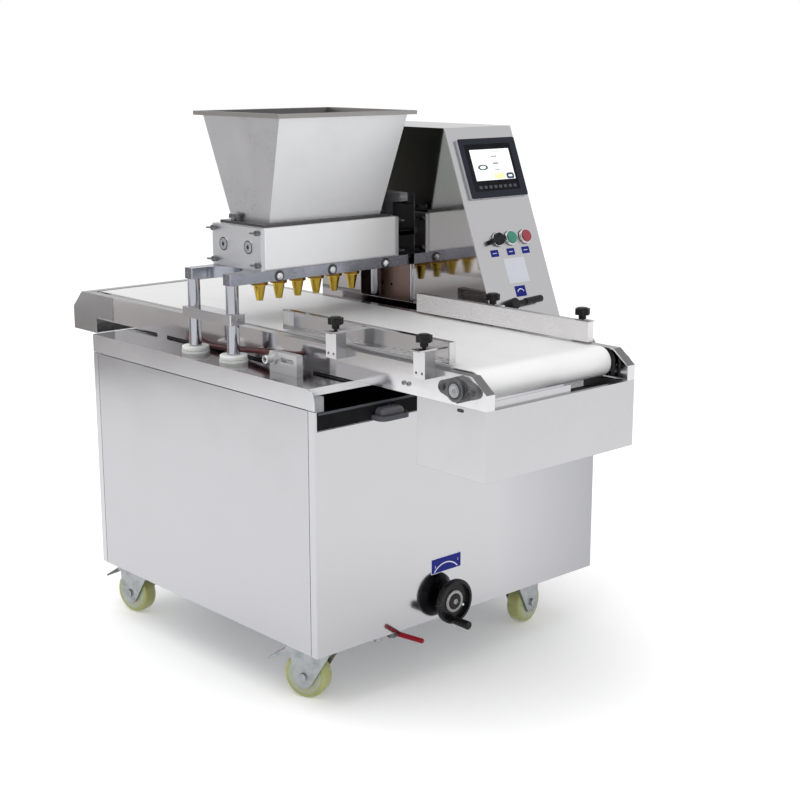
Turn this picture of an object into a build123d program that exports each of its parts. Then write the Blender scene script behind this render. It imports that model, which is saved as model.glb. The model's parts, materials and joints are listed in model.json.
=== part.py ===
"""Cookie depositing machine on castors: cabinet, belt conveyor, roller-feed head and console.

Millimetres, +Z up, +X towards the discharge end, origin on the floor at mid length.
"""

import os
from math import acos, atan2, cos, degrees, hypot, pi, radians, sin, tan

from build123d import *

# Shared stock and fits
sheet = 2.0  # folded stainless sheet
tube = 25.0  # square frame tube
running_fit = 0.05  # radial clearance of a turning shaft
slide_gap = 0.3  # gap between faces that slide or turn past each other
seam = 2.0  # gap between neighbouring panels

# Cabinet
overall_length = 1458.0
cabinet_length = 826.0
cabinet_width = 850.0
cabinet_shift = -53.0  # cabinet middle from mid length
floor_gap = 130.0  # floor to cabinet underside
table_height = 692.0
rim_depth = 42.0  # turned-down table rim
rim_round = 24.0  # rounded front end of the side rims
lip_setback = 18.0  # front table edge behind the front panel
lip_depth = 16.0
pan_thick = 3.0
panel_return = 18.0  # front and rear panels wrap the corners
vent_count = 6
vent_pitch = 14.0
vent_length = 120.0
vent_width = 5.0
vent_offset = 150.0  # vent columns beside mid width

# Drawer
drawer_width = 620.0
drawer_side_gap = 9.0  # drawer front from the cabinet's near side
drawer_height = 36.0
drawer_depth = 285.0
drawer_top_gap = 3.0  # below the panel top edge
drawer_inset = 24.0  # box inside the ends of its front
runner_post_gap = 18.0  # runner cross tube clear of the lifting posts
drawer_travel = 120.0
grip_length = 82.0
grip_reach = 33.0
grip_spread = 256.0  # spacing of the two grips
grip_bar = 10.0

# Castors
castor_front_inset = 90.0  # swivel axes from the cabinet's faces
castor_rear_inset = 62.0
castor_near_inset = 65.0
castor_far_inset = 149.0
castor_near_front_turn = 22.0  # rest turns about the swivels, degrees
castor_near_rear_turn = 10.0
castor_far_turn = -77.0
castor_plate = 82.0
castor_plate_thick = 4.0
wheel_radius = 50.0
wheel_width = 36.0
tread_depth = 10.0
tread_round = 7.0
castor_trail = 15.0  # axle behind the swivel axis
axle_radius = 6.0
fork_plate = 3.5
fork_gap = 3.0
fork_back = 46.0  # fork ends from the swivel axis
fork_front = 52.0
fork_ear = 25.0  # fork round the axle
swivel_radius = 28.0
swivel_height = 12.0
pedal_pin_radius = 3.0
pedal_pin_back = 52.0  # pedal pin behind the swivel axis
pedal_length = 52.0
pedal_drop = 32.0  # pedal tip below its pin
pedal_thick = 4.0
pedal_width = 36.0

# Drain valve under the front edge
drain_inset = 185.0  # drain axis from the cabinet's near side
drain_radius = 9.0
drain_drop = 17.0
drain_lever_offset = 41.0  # lever pivot beside the drain axis
drain_pivot_back = 23.0
drain_lever_length = 84.0
drain_lever_rest = 10.0  # rest turn from straight ahead, degrees
drain_lever_radius = 5.5
drain_pin_radius = 5.0
drain_hub_radius = 12.0

# Mains inlet
gland_inset = 125.0  # gland axis from the cabinet's far side
gland_rise = 100.0  # above the cabinet underside
gland_bore = 6.0
gland_thread = 10.0
gland_body = 15.0
gland_reach = 22.0

# Conveyor
conveyor_inset = 105.0  # near channel from the cabinet's near side
conveyor_width = 424.0
channel_width = 22.0
channel_wall = 3.0
conveyor_gap = 5.0  # channel underside above the table
channel_height = 60.5
nose_x = 38.0  # bevel of the channel ends
nose_z = 30.0
rear_setback = 29.0  # channel rear end inside the guard
belt_edge_gap = 7.0  # belt edges inside the channels
belt_thick = 2.0
belt_rise = 2.0  # belt above the channel top
drum_turn_radius = 30.5  # outside of the belt on its rollers
drive_setback = 68.0  # roller axes inside the ends
tail_setback = 88.0
roller_shaft = 10.0
bed_thick = 4.0
bed_end_gap = 46.0
member_width = 30.0
member_height = 47.0
member_count = 4
foot_length = 40.0
crumb_slot_margin = 40.0
bearing_bolt_pitch = 76.0
bearing_flange = 8.0
bearing_boss = 26.0
bearing_boss_step = 4.0  # boss inside the flange's middle
bearing_ear = 13.0
bearing_depth = 18.0
bearing_bolt_head = 6.0
bearing_shaft_end = 2.0  # shaft end past the boss
tail_block = 40.0

# Rear guard
guard_length = 184.0
guard_drop = 37.0  # guard floor below the channels
guard_step_x = 106.0
guard_step_rise = 40.0
guard_bevel_x = 42.0
guard_bevel_z = 40.5
guard_cap = 63.0

# Discharge skirt and belt drive
skirt_length = 185.0
skirt_height = 136.0
skirt_lip = 10.0  # turned-in lip along the front top edge
scraper_length = 216.0
scraper_rise = 15.0  # crumb scraper above the skirt
motor_radius = 42.0
motor_length = 190.0
motor_drop = 89.0  # motor axis below the drive roller
motor_plate_thick = 6.0
motor_plate_gap = 2.0  # plate clear of the chain
sprocket_radius = 20.0
sprocket_width = 5.0
chain_thick = 4.0
chain_width = 7.0
chain_y_back = 12.0  # chain plane inside the far channel's outer face

# Tray guides
guide_length = 508.0
guide_near_back = 376.0  # rail middles behind the discharge end
guide_far_back = 345.0
guide_half_gap = 172.0  # rail face from the belt middle
guide_lift = 5.5  # rails above the belt
guide_height = 41.0
guide_flange = 16.0
guide_travel = 12.0
guide_block_back = (410.0, 152.0)  # clamp blocks behind the discharge end
guide_block_length = 32.0
guide_block_depth = 26.0
guide_block_lap = 17.5  # blocks below the channel top
guide_block_height = 52.0
guide_screw_pitch = 16.0
guide_screw_rise = 10.0
guide_screw_radius = 3.0
guide_tab_width = 26.0
guide_tab_thick = 3.0
guide_slot_pitch = 22.0
guide_slot_length = 12.0
guide_slot_width = 5.0
knob_radius = 16.0
knob_height = 22.0
knob_lift = 4.0  # bare stud below the knob
knob_lobe = 5.0
knob_neck_radius = 8.0
knob_neck = 9.0  # neck below the lobed head
stud_radius = 4.0
stud_depth = 20.0

# Tray sensor
sensor_x = 164.0
bracket_length = 90.0
bracket_gap = 52.0  # bracket face outside the near channel
bracket_thick = 16.0
bracket_height = 44.0
sensor_radius = 9.0
sensor_length = 46.0
sensor_rise = 29.0
sensor_nut = 14.0
sensor_nut_thick = 5.0
lead_radius = 5.0
lead_fit = 0.2  # gap round the lead in its grommet
lead_slack = 0.45  # share of the shorter run that each bend takes up
grommet_radius = 10.0

# Depositing head
head_offset = 4.0  # head middle beside the belt middle
post_pitch = 142.0
post_near_gap = 48.0  # post axes outside the channels
post_far_gap = 60.0
post_radius = 14.0
post_table_gap = 2.0
collar_radius = 31.0
collar_far_radius = 20.0
collar_height = 15.0
collar_foot = 5.0
collar_groove = 2.0
tie_rise = 80.0  # tie bar above the table
tie_height = 23.0
tie_length = 180.0
tie_depth = 40.0
base_rise = 164.0  # nozzle plate above the table
base_thick = 24.0
base_width = 170.0
base_near_edge = 14.0  # base ends past the post axes
base_far_edge = 148.0
arm_width = 28.0
arm_scoop = 25.0  # straight part of the near scoop
lift_travel = 40.0
plinth_height = 4.0
plinth_inset = 8.0
block_width = 179.0
block_length = 376.0
block_height = 92.0
roller_pitch = 90.0
roller_rise = 49.0  # feed roller axes above the base
feed_roller_radius = 40.0
feed_roller_gap = 0.5
flute_count = 12
flute_radius = 5.0
feed_shaft = 10.0
feed_length = 320.0  # roller length
throat_width = 120.0
outlet_width = 24.0
end_plate_thick = 10.0
cap_radius = 15.0
cap_depth = 2.0
cap_wall = 4.0  # closed end of the near caps
nozzle_count = 6
nozzle_pitch = 53.6
nozzle_bore = 5.0
nozzle_feed = 9.0
nozzle_nut_radius = 19.0
nozzle_nut_height = 20.0
nozzle_cone_top = 14.0
nozzle_cone_tip = 7.5
nozzle_drop = 54.0
dome_radius = 9.0
dome_offset = (-147.0, 2.0, 161.0)  # dome nuts beside the head middle
dome_rise = 10.08  # above the base's underside
wing_hub = 6.0
wing_hub_height = 8.0
wing_reach = 16.0
wing_thick = 3.0
wing_rise = 10.0
wing_edge = 10.0  # wing nut axis from the end plate's edge

# Hopper
hopper_rim_x = 308.0
hopper_rim_y = 390.0
hopper_rim_width = 14.0
hopper_rim_height = 9.0
hopper_height = 241.0  # rim above the feed block
hopper_foot_x = 136.0
hopper_foot_y = 318.0
hopper_flange_x = 160.0
hopper_flange_y = 364.0
hopper_flange_thick = 6.0
hopper_sheet = 2.5

# Feed drive
gearbox_width = 140.0
gearbox_gap = 78.0  # gearbox behind the housing wall
gearbox_depth = 85.0
gearbox_height = 105.0
feed_motor_radius = 40.0
feed_motor_height = 115.0
shaft_entry = 20.0
coupling_radius = 16.0
coupling_length = 18.0
coupling_gap = 4.0  # behind the far caps

# Lift
yoke_drop = 252.0  # yoke below the table
yoke_thick = 24.0
yoke_beam = 40.0
screw_radius = 15.0
screw_end = 20.0  # screw end above the cabinet pan
jack_width = 120.0
jack_depth = 100.0
jack_height = 92.0
jack_boss = 20.0
jack_boss_length = 23.0
handwheel_offset = 43.0  # handwheel axis beside the belt middle
handwheel_rise = 43.0  # above the cabinet underside
handwheel_radius = 50.0
handwheel_back = 36.0  # radius of its back face
handwheel_edge = 11.0  # width of its outer edge
handwheel_gap = 16.0  # dish behind face to front panel
handwheel_thick = 22.0
handwheel_recess = 8.0
handwheel_rim = 8.0
handwheel_hub = 16.0
handwheel_shaft = 8.0
grip_angle = 253.0  # turn of the grip round the wheel, degrees
grip_offset = 39.0
grip_radius = 9.5
grip_end_radius = 8.5
grip_span = 50.0
grip_spindle = 4.0

# Control housing
wall_gap = 33.0  # housing wall beside the far channel
housing_width = 216.0
housing_rear = -243.0  # from the cabinet middle
housing_brow = 191.0
housing_toe = 380.0
housing_height = 481.0
window_width = 192.0
window_rise = 74.0  # wall window above the table
window_height = 256.0
shield_width = 320.0  # splash shield behind the far posts
shield_gap = 4.0  # behind the post collars and below the head base
shield_foot = 15.0
shield_hole_radius = 4.0
shield_hole_offset = (-75.0, -41.0)  # holes beside the head middle
shield_hole_rise = 98.0  # above the table
screen_v = 99.5  # distances down the console front
screen_offset = 117.5  # distances from the housing wall
screen_width = 184.0
screen_height = 140.0
screen_proud = 7.0
screen_body_inset = 12.0
screen_body_depth = 38.0
control_v = 266.0
selector_offset = 78.0
start_offset = 117.5
stop_offset = 165.6
stem_radius = 11.0
stem_depth = 14.0
cap_button_radius = 14.0
cap_button_gap = 6.0
cap_button_thick = 6.0
selector_radius = 14.0
selector_thick = 10.0
selector_arm = 44.0
selector_arm_width = 11.0
selector_turn = 190.0  # pointer direction at rest, degrees
lever_offset = 63.0
lever_v = 419.0
lever_hub = 13.0
lever_hub_height = 22.0
lever_arm_length = 95.0
lever_arm_radius = 5.5
lever_grip_radius = 8.0
lever_grip_length = 55.0
lever_pin = 6.0
lever_pin_depth = 10.0
lever_tilt = 2.5

# Derived positions
half_length = overall_length / 2
cab_x = (cabinet_shift - cabinet_length / 2, cabinet_shift + cabinet_length / 2)
cab_y = (-cabinet_width / 2, cabinet_width / 2)
in_x = (cab_x[0] + sheet, cab_x[1] - sheet)
in_y = (cab_y[0] + sheet, cab_y[1] - sheet)
pan_top = floor_gap + pan_thick
rim_low = table_height - rim_depth
panel_top = rim_low - seam
plate_low = table_height - sheet
lip_x = cab_x[1] - lip_setback
drawer_top = panel_top - drawer_top_gap
drawer_low = drawer_top - drawer_height
drawer_rear = cab_x[1] - drawer_depth
drawer_y = (cab_y[0] + drawer_side_gap, cab_y[0] + drawer_side_gap + drawer_width)
runner_top = drawer_low - slide_gap
drain_y = cab_y[0] + drain_inset
drain_lever_y = drain_y + drain_lever_offset
gland_y = cab_y[1] - gland_inset
gland_z = floor_gap + gland_rise

conv_y = (cab_y[0] + conveyor_inset, cab_y[0] + conveyor_inset + conveyor_width)
conveyor_y = (conv_y[0] + conv_y[1]) / 2
drive_x = half_length - drive_setback
tail_x = tail_setback - half_length

head_x = cabinet_shift
head_y = conveyor_y + head_offset
post_x = (head_x - post_pitch / 2, head_x + post_pitch / 2)
post_near_y = conv_y[0] - post_near_gap
post_far_y = conv_y[1] + post_far_gap
tie_low = table_height + tie_rise
base_low = table_height + base_rise
base_near_y = post_near_y - base_near_edge
base_far_y = post_far_y + base_far_edge
base_top = base_low + base_thick
roller_z = base_top + roller_rise
block_top = base_top + block_height
hopper_top = block_top + hopper_height
block_y = (head_y - block_length / 2, head_y + block_length / 2)
end_plate_y = (block_y[0] - end_plate_thick, block_y[1] + end_plate_thick)
roller_x = (head_x - roller_pitch / 2, head_x + roller_pitch / 2)
dome_y = [head_y + offset for offset in dome_offset]
nozzle_y = [conveyor_y + nozzle_pitch * (i - (nozzle_count - 1) / 2) for i in range(nozzle_count)]

conv_in_y = (conv_y[0] + channel_width, conv_y[1] - channel_width)
web_y = (conv_y[0] + channel_wall, conv_y[1] - channel_wall)
channel_low = table_height + conveyor_gap
channel_top = channel_low + channel_height
channel_x = (-half_length + rear_setback, half_length)
belt_top = channel_top + belt_rise
belt_y = (conv_in_y[0] + belt_edge_gap, conv_in_y[1] - belt_edge_gap)
roller_axis_z = belt_top - drum_turn_radius
belt_inner = drum_turn_radius - belt_thick
bed_top = belt_top - belt_thick
chain_y = conv_y[1] - chain_y_back
guide_mid_x = {"near": half_length - guide_near_back, "far": half_length - guide_far_back}
guide_block_x = [half_length - back for back in guide_block_back]
guide_low = belt_top + guide_lift
guide_high = guide_low + guide_height
guide_block_low = channel_top - guide_block_lap
guide_block_high = guide_block_low + guide_block_height
guard_floor = channel_low - guard_drop
guard_step_z = guard_floor + guard_step_rise
skirt_floor = channel_low - skirt_height
bracket_y = conv_y[0] - bracket_gap
yoke_low = table_height - yoke_drop
handwheel_y = conveyor_y + handwheel_offset
handwheel_z = floor_gap + handwheel_rise

wall_y = conv_y[1] + wall_gap
housing_far_y = wall_y + housing_width
housing_top = table_height + housing_height
window_low = table_height + window_rise
window_high = window_low + window_height
gearbox_near_y = wall_y + gearbox_gap
screen_y = wall_y + screen_offset
selector_y = wall_y + selector_offset
start_y = wall_y + start_offset
stop_y = wall_y + stop_offset
lever_y = wall_y + lever_offset
wall_x = (cabinet_shift + housing_rear, cabinet_shift + housing_toe)
brow_x = cabinet_shift + housing_brow
slope_run = wall_x[1] - brow_x
slope_drop = housing_height
slope_length = hypot(slope_run, slope_drop)
console_plane = Plane(
    origin=(brow_x, wall_y, housing_top),
    x_dir=(0, 1, 0),
    z_dir=(slope_drop / slope_length, 0, slope_run / slope_length),
)


def span(middle, size):
    """Return the (low, high) limits of a size centred on a middle."""
    return (middle - size / 2, middle + size / 2)


def box(xs, ys, zs):
    """Return a box from its (low, high) limits."""
    mid = [(low + high) / 2 for low, high in (xs, ys, zs)]
    return Pos(*mid) * Box(xs[1] - xs[0], ys[1] - ys[0], zs[1] - zs[0])


def rod_x(y, z, radius, xs):
    """Return a cylinder along X."""
    return Pos((xs[0] + xs[1]) / 2, y, z) * Rot(0, 90, 0) * Cylinder(radius, xs[1] - xs[0])


def rod_y(x, z, radius, ys):
    """Return a cylinder along Y."""
    return Pos(x, (ys[0] + ys[1]) / 2, z) * Rot(90, 0, 0) * Cylinder(radius, ys[1] - ys[0])


def rod_z(x, y, radius, zs):
    """Return a cylinder along Z."""
    return Pos(x, y, (zs[0] + zs[1]) / 2) * Cylinder(radius, zs[1] - zs[0])


def prism_y(points, ys):
    """Return an (x, z) outline extruded along Y."""
    outline = Polyline([(x, ys[0], z) for x, z in points], close=True)
    return extrude(make_face(outline), amount=ys[1] - ys[0], dir=(0, 1, 0))


def prism_z(points, zs):
    """Return an (x, y) outline extruded along Z."""
    outline = Polyline([(x, y, zs[0]) for x, y in points], close=True)
    return extrude(make_face(outline), amount=zs[1] - zs[0], dir=(0, 0, 1))


def group(*shapes):
    """Return touching pieces as one node of separate solids."""
    return Compound([solid for shape in shapes for solid in shape.solids()])


def frame_ring(zs):
    """Return a rectangular ring of frame tube inside the panels."""
    outer = box(in_x, in_y, zs)
    hole_x = (in_x[0] + tube, in_x[1] - tube)
    hole_y = (in_y[0] + tube, in_y[1] - tube)
    return outer - box(hole_x, hole_y, (zs[0] - 1, zs[1] + 1))


def castor_places():
    """Return each castor's name, swivel point and rest turn."""
    front = cab_x[1] - castor_front_inset
    rear = cab_x[0] + castor_rear_inset
    near, far = cab_y[0] + castor_near_inset, cab_y[1] - castor_far_inset
    return {
        "near_front": (front, near, castor_near_front_turn),
        "near_rear": (rear, near, castor_near_rear_turn),
        "far_front": (front, far, castor_far_turn),
        "far_rear": (rear, far, castor_far_turn),
    }


def cabinet_frame():
    """Return the welded frame, bottom pan, drawer runners, drain spigots and castor plates."""
    frame = box(in_x, in_y, (floor_gap, pan_top))
    frame += frame_ring((pan_top, pan_top + tube))
    runner_z = (runner_top - tube, runner_top)
    frame += frame_ring(runner_z)
    for side_y in ((in_y[0], in_y[0] + tube), (in_y[1] - tube, in_y[1])):
        frame += box((in_x[0], in_x[0] + tube), side_y, (pan_top, plate_low))
        frame += box((in_x[1] - tube, in_x[1]), side_y, (pan_top, table_height - lip_depth))
    cross_rear = post_x[1] + post_radius + runner_post_gap
    cross_x = (cross_rear, cross_rear + tube)
    frame += box(cross_x, in_y, runner_z)
    for end_y in (drawer_y[0] + drawer_inset, drawer_y[1] - drawer_inset):
        frame += box((cross_x[1], in_x[1]), span(end_y, tube), runner_z)
    drain_x = cab_x[1] - drain_pivot_back
    low = floor_gap - drain_drop
    frame += rod_z(drain_x, drain_y, drain_radius, (low, floor_gap))
    frame -= rod_z(drain_x, drain_y, drain_radius - sheet, (low - 1, pan_top + 1))
    pin_low = low - slide_gap - 1
    frame += rod_z(drain_x, drain_lever_y, drain_pin_radius, (pin_low, floor_gap))
    frame += rod_z(drain_x, drain_lever_y, drain_pin_radius + sheet, (pin_low - pan_thick, pin_low))
    plates = []
    for x, y, _ in castor_places().values():
        plate_z = (floor_gap - castor_plate_thick, floor_gap)
        plate = box(span(x, castor_plate), span(y, castor_plate), plate_z)
        plate -= rod_z(x, y, axle_radius + running_fit, (plate_z[0] - 1, plate_z[1] + 1))
        plates.append(plate)
    return group(frame, *plates)


def side_panel(side):
    """Return one flat side panel between the wrapped corners."""
    gap = panel_return + seam
    ys = (cab_y[0], in_y[0]) if side == "near" else (in_y[1], cab_y[1])
    return box((cab_x[0] + gap, cab_x[1] - gap), ys, (floor_gap, panel_top))


def end_panel(face_x, wrap_x):
    """Return an end panel with its two corner returns."""
    zs = (floor_gap, panel_top)
    panel = box(face_x, cab_y, zs)
    panel += box(wrap_x, (cab_y[0], in_y[0]), zs)
    panel += box(wrap_x, (in_y[1], cab_y[1]), zs)
    return panel


def front_panel():
    """Return the front panel with its drawer slot and handwheel hole."""
    panel = end_panel((in_x[1], cab_x[1]), (cab_x[1] - panel_return, cab_x[1]))
    slot_y = (drawer_y[0] - seam, drawer_y[1] + seam)
    panel -= box((in_x[1] - 1, cab_x[1] + 1), slot_y, (drawer_low - seam, panel_top + 1))
    return panel - rod_x(
        handwheel_y, handwheel_z, handwheel_shaft + slide_gap, (in_x[1] - 1, cab_x[1] + 1)
    )


def rear_panel():
    """Return the rear panel with vent slots and the mains inlet gland in it."""
    panel = end_panel((cab_x[0], in_x[0]), (cab_x[0], cab_x[0] + panel_return))
    through = (cab_x[0] - 1, in_x[0] + 1)
    for i in range(vent_count):
        slot_z = (floor_gap + panel_top) / 2 + i * vent_pitch
        panel -= box(through, span(-vent_offset, vent_length), span(slot_z, vent_width))
        panel -= box(through, span(vent_offset, vent_length), span(slot_z, vent_width))
    panel -= rod_x(gland_y, gland_z, gland_thread, through)
    return group(panel, cable_gland())


def cable_gland():
    """Return the hollow mains inlet gland on the rear panel."""
    out_x = cab_x[0] - gland_reach
    in_end = in_x[0] + gland_thread
    gland = rod_x(gland_y, gland_z, gland_body, (out_x, cab_x[0]))
    gland = chamfer(gland.faces().sort_by(Axis.X)[0].edges(), sheet)
    gland += rod_x(gland_y, gland_z, gland_thread, (cab_x[0], in_end))
    return gland - rod_x(gland_y, gland_z, gland_bore, (out_x - 1, in_end + 1))


def table_rim(ys):
    """Return one side rim with its rounded front end."""
    rim = box(cab_x, ys, (rim_low, table_height))
    edges = rim.edges().filter_by(Axis.Y)
    corner = edges.sort_by(lambda edge: edge.center().X + edge.center().Z)[-1]
    return fillet(corner, rim_round)


def table_top():
    """Return the table with rims, lips, crumb opening and post holes."""
    table = box((cab_x[0], lip_x), cab_y, (plate_low, table_height))
    table += table_rim((cab_y[0], in_y[0]))
    table += table_rim((in_y[1], cab_y[1]))
    table += box((cab_x[0], in_x[0]), in_y, (rim_low, table_height))
    table += box((lip_x - sheet, lip_x), in_y, (table_height - lip_depth, table_height))
    hole_z = (plate_low - 1, table_height + 1)
    slot_x = (cab_x[0] + crumb_slot_margin, lip_x - crumb_slot_margin)
    slot_y = (conv_in_y[0] + crumb_slot_margin, conv_in_y[1] - crumb_slot_margin)
    table -= box(slot_x, slot_y, hole_z)
    for x in post_x:
        for y in (post_near_y, post_far_y):
            table -= rod_z(x, y, post_radius + post_table_gap, hole_z)
    return table


def touch_point(corner, middle, radius, side):
    """Return where a line from a corner touches a circle, on its +1 or -1 side."""
    away = (corner[0] - middle[0], corner[1] - middle[1])
    turn = atan2(away[1], away[0]) - side * acos(radius / hypot(*away))
    return (middle[0] + radius * cos(turn), middle[1] + radius * sin(turn))


def castor_fork(braked):
    """Return a castor fork about its own swivel axis, trailing along -X."""
    head_top = floor_gap - castor_plate_thick - slide_gap
    head_low = head_top - swivel_height
    inner = wheel_width / 2 + fork_gap
    outer = inner + fork_plate
    axle = (-castor_trail, wheel_radius)
    fork = rod_z(0, 0, swivel_radius, (head_low, head_top))
    fork += rod_z(0, 0, axle_radius, (head_top, floor_gap - slide_gap))
    fork += box((-fork_back, fork_front), (-outer, outer), (head_low - fork_plate, head_low))
    back, front = (-fork_back, head_low), (fork_front, head_low)
    outline = [
        back,
        touch_point(back, axle, fork_ear, -1),
        touch_point(front, axle, fork_ear, 1),
        front,
    ]
    for ys in ((-outer, -inner), (inner, outer)):
        fork += prism_y(outline, ys) + rod_y(*axle, fork_ear, ys)
    bolt = outer + fork_plate + 1
    fork += rod_y(*axle, axle_radius, (-bolt, bolt))
    for ys in ((-bolt, -outer), (outer, bolt)):
        fork += rod_y(*axle, axle_radius * 1.5, ys)
    if not braked:
        return fork
    lug_x = (-pedal_pin_back - pedal_pin_radius * 2, -fork_back + fork_plate)
    lug_in = pedal_width / 2 + slide_gap
    for ys in ((-lug_in - fork_plate, -lug_in), (lug_in, lug_in + fork_plate)):
        fork += box(lug_x, ys, (pedal_pin_z() - pedal_pin_radius * 2, head_low))
    reach = lug_in + fork_plate
    return fork + rod_y(-pedal_pin_back, pedal_pin_z(), pedal_pin_radius, (-reach, reach))


def pedal_pin_z():
    """Return the height of the brake pedal pin."""
    head_low = floor_gap - castor_plate_thick - slide_gap - swivel_height
    return head_low - fork_plate - pedal_pin_radius * 2


def castor_wheel():
    """Return a wheel of core and tread on its axle place."""
    axle = (-castor_trail, wheel_radius)
    ys = (-wheel_width / 2, wheel_width / 2)
    past = (ys[0] - 1, ys[1] + 1)
    core_radius = wheel_radius - tread_depth
    core = rod_y(*axle, core_radius, ys) - rod_y(*axle, axle_radius + running_fit, past)
    tread = rod_y(*axle, wheel_radius, ys)
    tread = fillet(tread.edges().filter_by(GeomType.CIRCLE), tread_round)
    return group(core, tread - rod_y(*axle, core_radius, past))


def castor_pedal():
    """Return a wedge-shaped brake pedal on its pin place."""
    pin = (-pedal_pin_back, pedal_pin_z())
    ys = (-pedal_width / 2, pedal_width / 2)
    barrel = pedal_pin_radius * 2
    tip = (pin[0] - pedal_length, pin[1] - pedal_drop)
    outline = [
        (pin[0], pin[1] + barrel),
        (tip[0], tip[1] + pedal_thick),
        tip,
        (pin[0], pin[1] - barrel),
    ]
    pedal = rod_y(*pin, barrel, ys) + prism_y(outline, ys)
    return pedal - rod_y(*pin, pedal_pin_radius + running_fit, (ys[0] - 1, ys[1] + 1))


def drawer():
    """Return the crumb drawer with front and two grips."""
    front = box((in_x[1], cab_x[1]), drawer_y, (drawer_low, drawer_top))
    ys = (drawer_y[0] + drawer_inset, drawer_y[1] - drawer_inset)
    xs = (drawer_rear + slide_gap, in_x[1])
    tray = box(xs, ys, (drawer_low, drawer_top - drawer_top_gap))
    tray -= box(
        (xs[0] + sheet, xs[1]), (ys[0] + sheet, ys[1] - sheet), (drawer_low + sheet, drawer_top + 1)
    )
    shape = front + tray
    grip_z = drawer_low + grip_bar / 2
    for y in span((drawer_y[0] + drawer_y[1]) / 2, grip_spread):
        end_x = cab_x[1] + grip_reach
        outer = box((cab_x[1], end_x), span(y, grip_length), span(grip_z, grip_bar))
        outer = fillet(outer.edges().filter_by(Axis.Z).sort_by(Axis.X)[-2:], grip_reach / 2)
        shape += outer - box(
            (cab_x[1], end_x - grip_bar),
            span(y, grip_length - 2 * grip_bar),
            span(grip_z, grip_bar + 2),
        )
    return shape


def drain_lever():
    """Return the drain valve lever on its pin."""
    x = cab_x[1] - drain_pivot_back
    low = floor_gap - drain_drop
    top = floor_gap - slide_gap
    mid = (low + top) / 2
    lever = rod_z(0, 0, drain_hub_radius, (low, top))
    lever += rod_x(0, mid, drain_lever_radius, (0, drain_lever_length))
    tip = lever.faces().sort_by(Axis.X)[-1]
    lever = fillet(tip.edges(), drain_lever_radius * 0.6)
    lever -= rod_z(0, 0, drain_pin_radius + running_fit, (low - 1, top + 1))
    return Pos(x, drain_lever_y, 0) * Rot(0, 0, drain_lever_rest) * lever


def channel_outline(inset):
    """Return the side outline of a conveyor channel, moved in by an inset."""
    slant = hypot(nose_x, nose_z)
    along_top = inset * (slant - nose_z) / nose_x
    down_end = inset * (slant - nose_x) / nose_z
    rear, front = channel_x[0] + inset, channel_x[1] - inset
    low, top = channel_low + inset, channel_top - inset
    return [
        (rear, low),
        (front, low),
        (front, channel_top - nose_z - down_end),
        (channel_x[1] - nose_x - along_top, top),
        (channel_x[0] + nose_x + along_top, top),
        (rear, channel_top - nose_z - down_end),
    ]


def conveyor_plate(side):
    """Return one folded side channel, open towards the belt, with its feet."""
    near = side == "near"
    ys = (conv_y[0], conv_in_y[0]) if near else (conv_in_y[1], conv_y[1])
    pocket_y = (web_y[0], conv_in_y[0]) if near else (conv_in_y[1], web_y[1])
    plate = prism_y(channel_outline(0), ys) - prism_y(channel_outline(channel_wall), pocket_y)
    third = (lip_x - cab_x[0]) / 3
    for i in range(3):
        mid = cab_x[0] + third * (i + 0.5)
        plate += box(span(mid, foot_length), ys, (table_height, channel_low))
    hole_y = (conv_y[0] - 1, web_y[0] + 1) if near else (web_y[1] - 1, conv_y[1] + 1)
    for x in (drive_x, tail_x):
        plate -= rod_y(x, roller_axis_z, roller_shaft + 1, hole_y)
    if near:
        end = lead_points()[-1]
        plate -= rod_y(end[0], end[2], lead_radius + lead_fit, hole_y)
    else:
        wide = sprocket_radius + chain_thick + sheet
        slot_y = span(chain_y, chain_width + sheet)
        plate -= box(span(drive_x, 2 * wide), slot_y, (channel_low - 1, channel_low + channel_wall + 1))
    return plate


def belt_bed():
    """Return the slider bed under the belt with its cross members."""
    xs = (tail_x + bed_end_gap, drive_x - bed_end_gap)
    bed = box(xs, conv_in_y, (bed_top - bed_thick, bed_top))
    step = (xs[1] - xs[0] - member_width) / (member_count - 1)
    member_z = (bed_top - bed_thick - member_height, bed_top - bed_thick)
    for i in range(member_count):
        bed += box((xs[0] + step * i, xs[0] + step * i + member_width), web_y, member_z)
    return bed


def loop(radius, ys, a, b):
    """Return a filled loop round two points (x, z) along one axis."""
    low_x, high_x = min(a[0], b[0]), max(a[0], b[0])
    low_z, high_z = min(a[1], b[1]), max(a[1], b[1])
    grow_x = radius if low_x == high_x else 0
    grow_z = radius if low_z == high_z else 0
    body = box((low_x - grow_x, high_x + grow_x), ys, (low_z - grow_z, high_z + grow_z))
    return body + rod_y(a[0], a[1], radius, ys) + rod_y(b[0], b[1], radius, ys)


def conveyor_belt():
    """Return the endless belt round both rollers."""
    a, b = (tail_x, roller_axis_z), (drive_x, roller_axis_z)
    inner_y = (belt_y[0] - 1, belt_y[1] + 1)
    return loop(drum_turn_radius, belt_y, a, b) - loop(belt_inner, inner_y, a, b)


def belt_roller(x, shaft_y):
    """Return a conveyor roller with its shaft."""
    roller = rod_y(x, roller_axis_z, belt_inner - slide_gap, belt_y)
    return roller + rod_y(x, roller_axis_z, roller_shaft, shaft_y)


def drive_roller():
    """Return the driven roller with its sprocket in the far channel."""
    roller = belt_roller(drive_x, (conv_y[0] - bearing_depth, conv_y[1] + bearing_depth))
    return roller + rod_y(drive_x, roller_axis_z, sprocket_radius, span(chain_y, sprocket_width))


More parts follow.
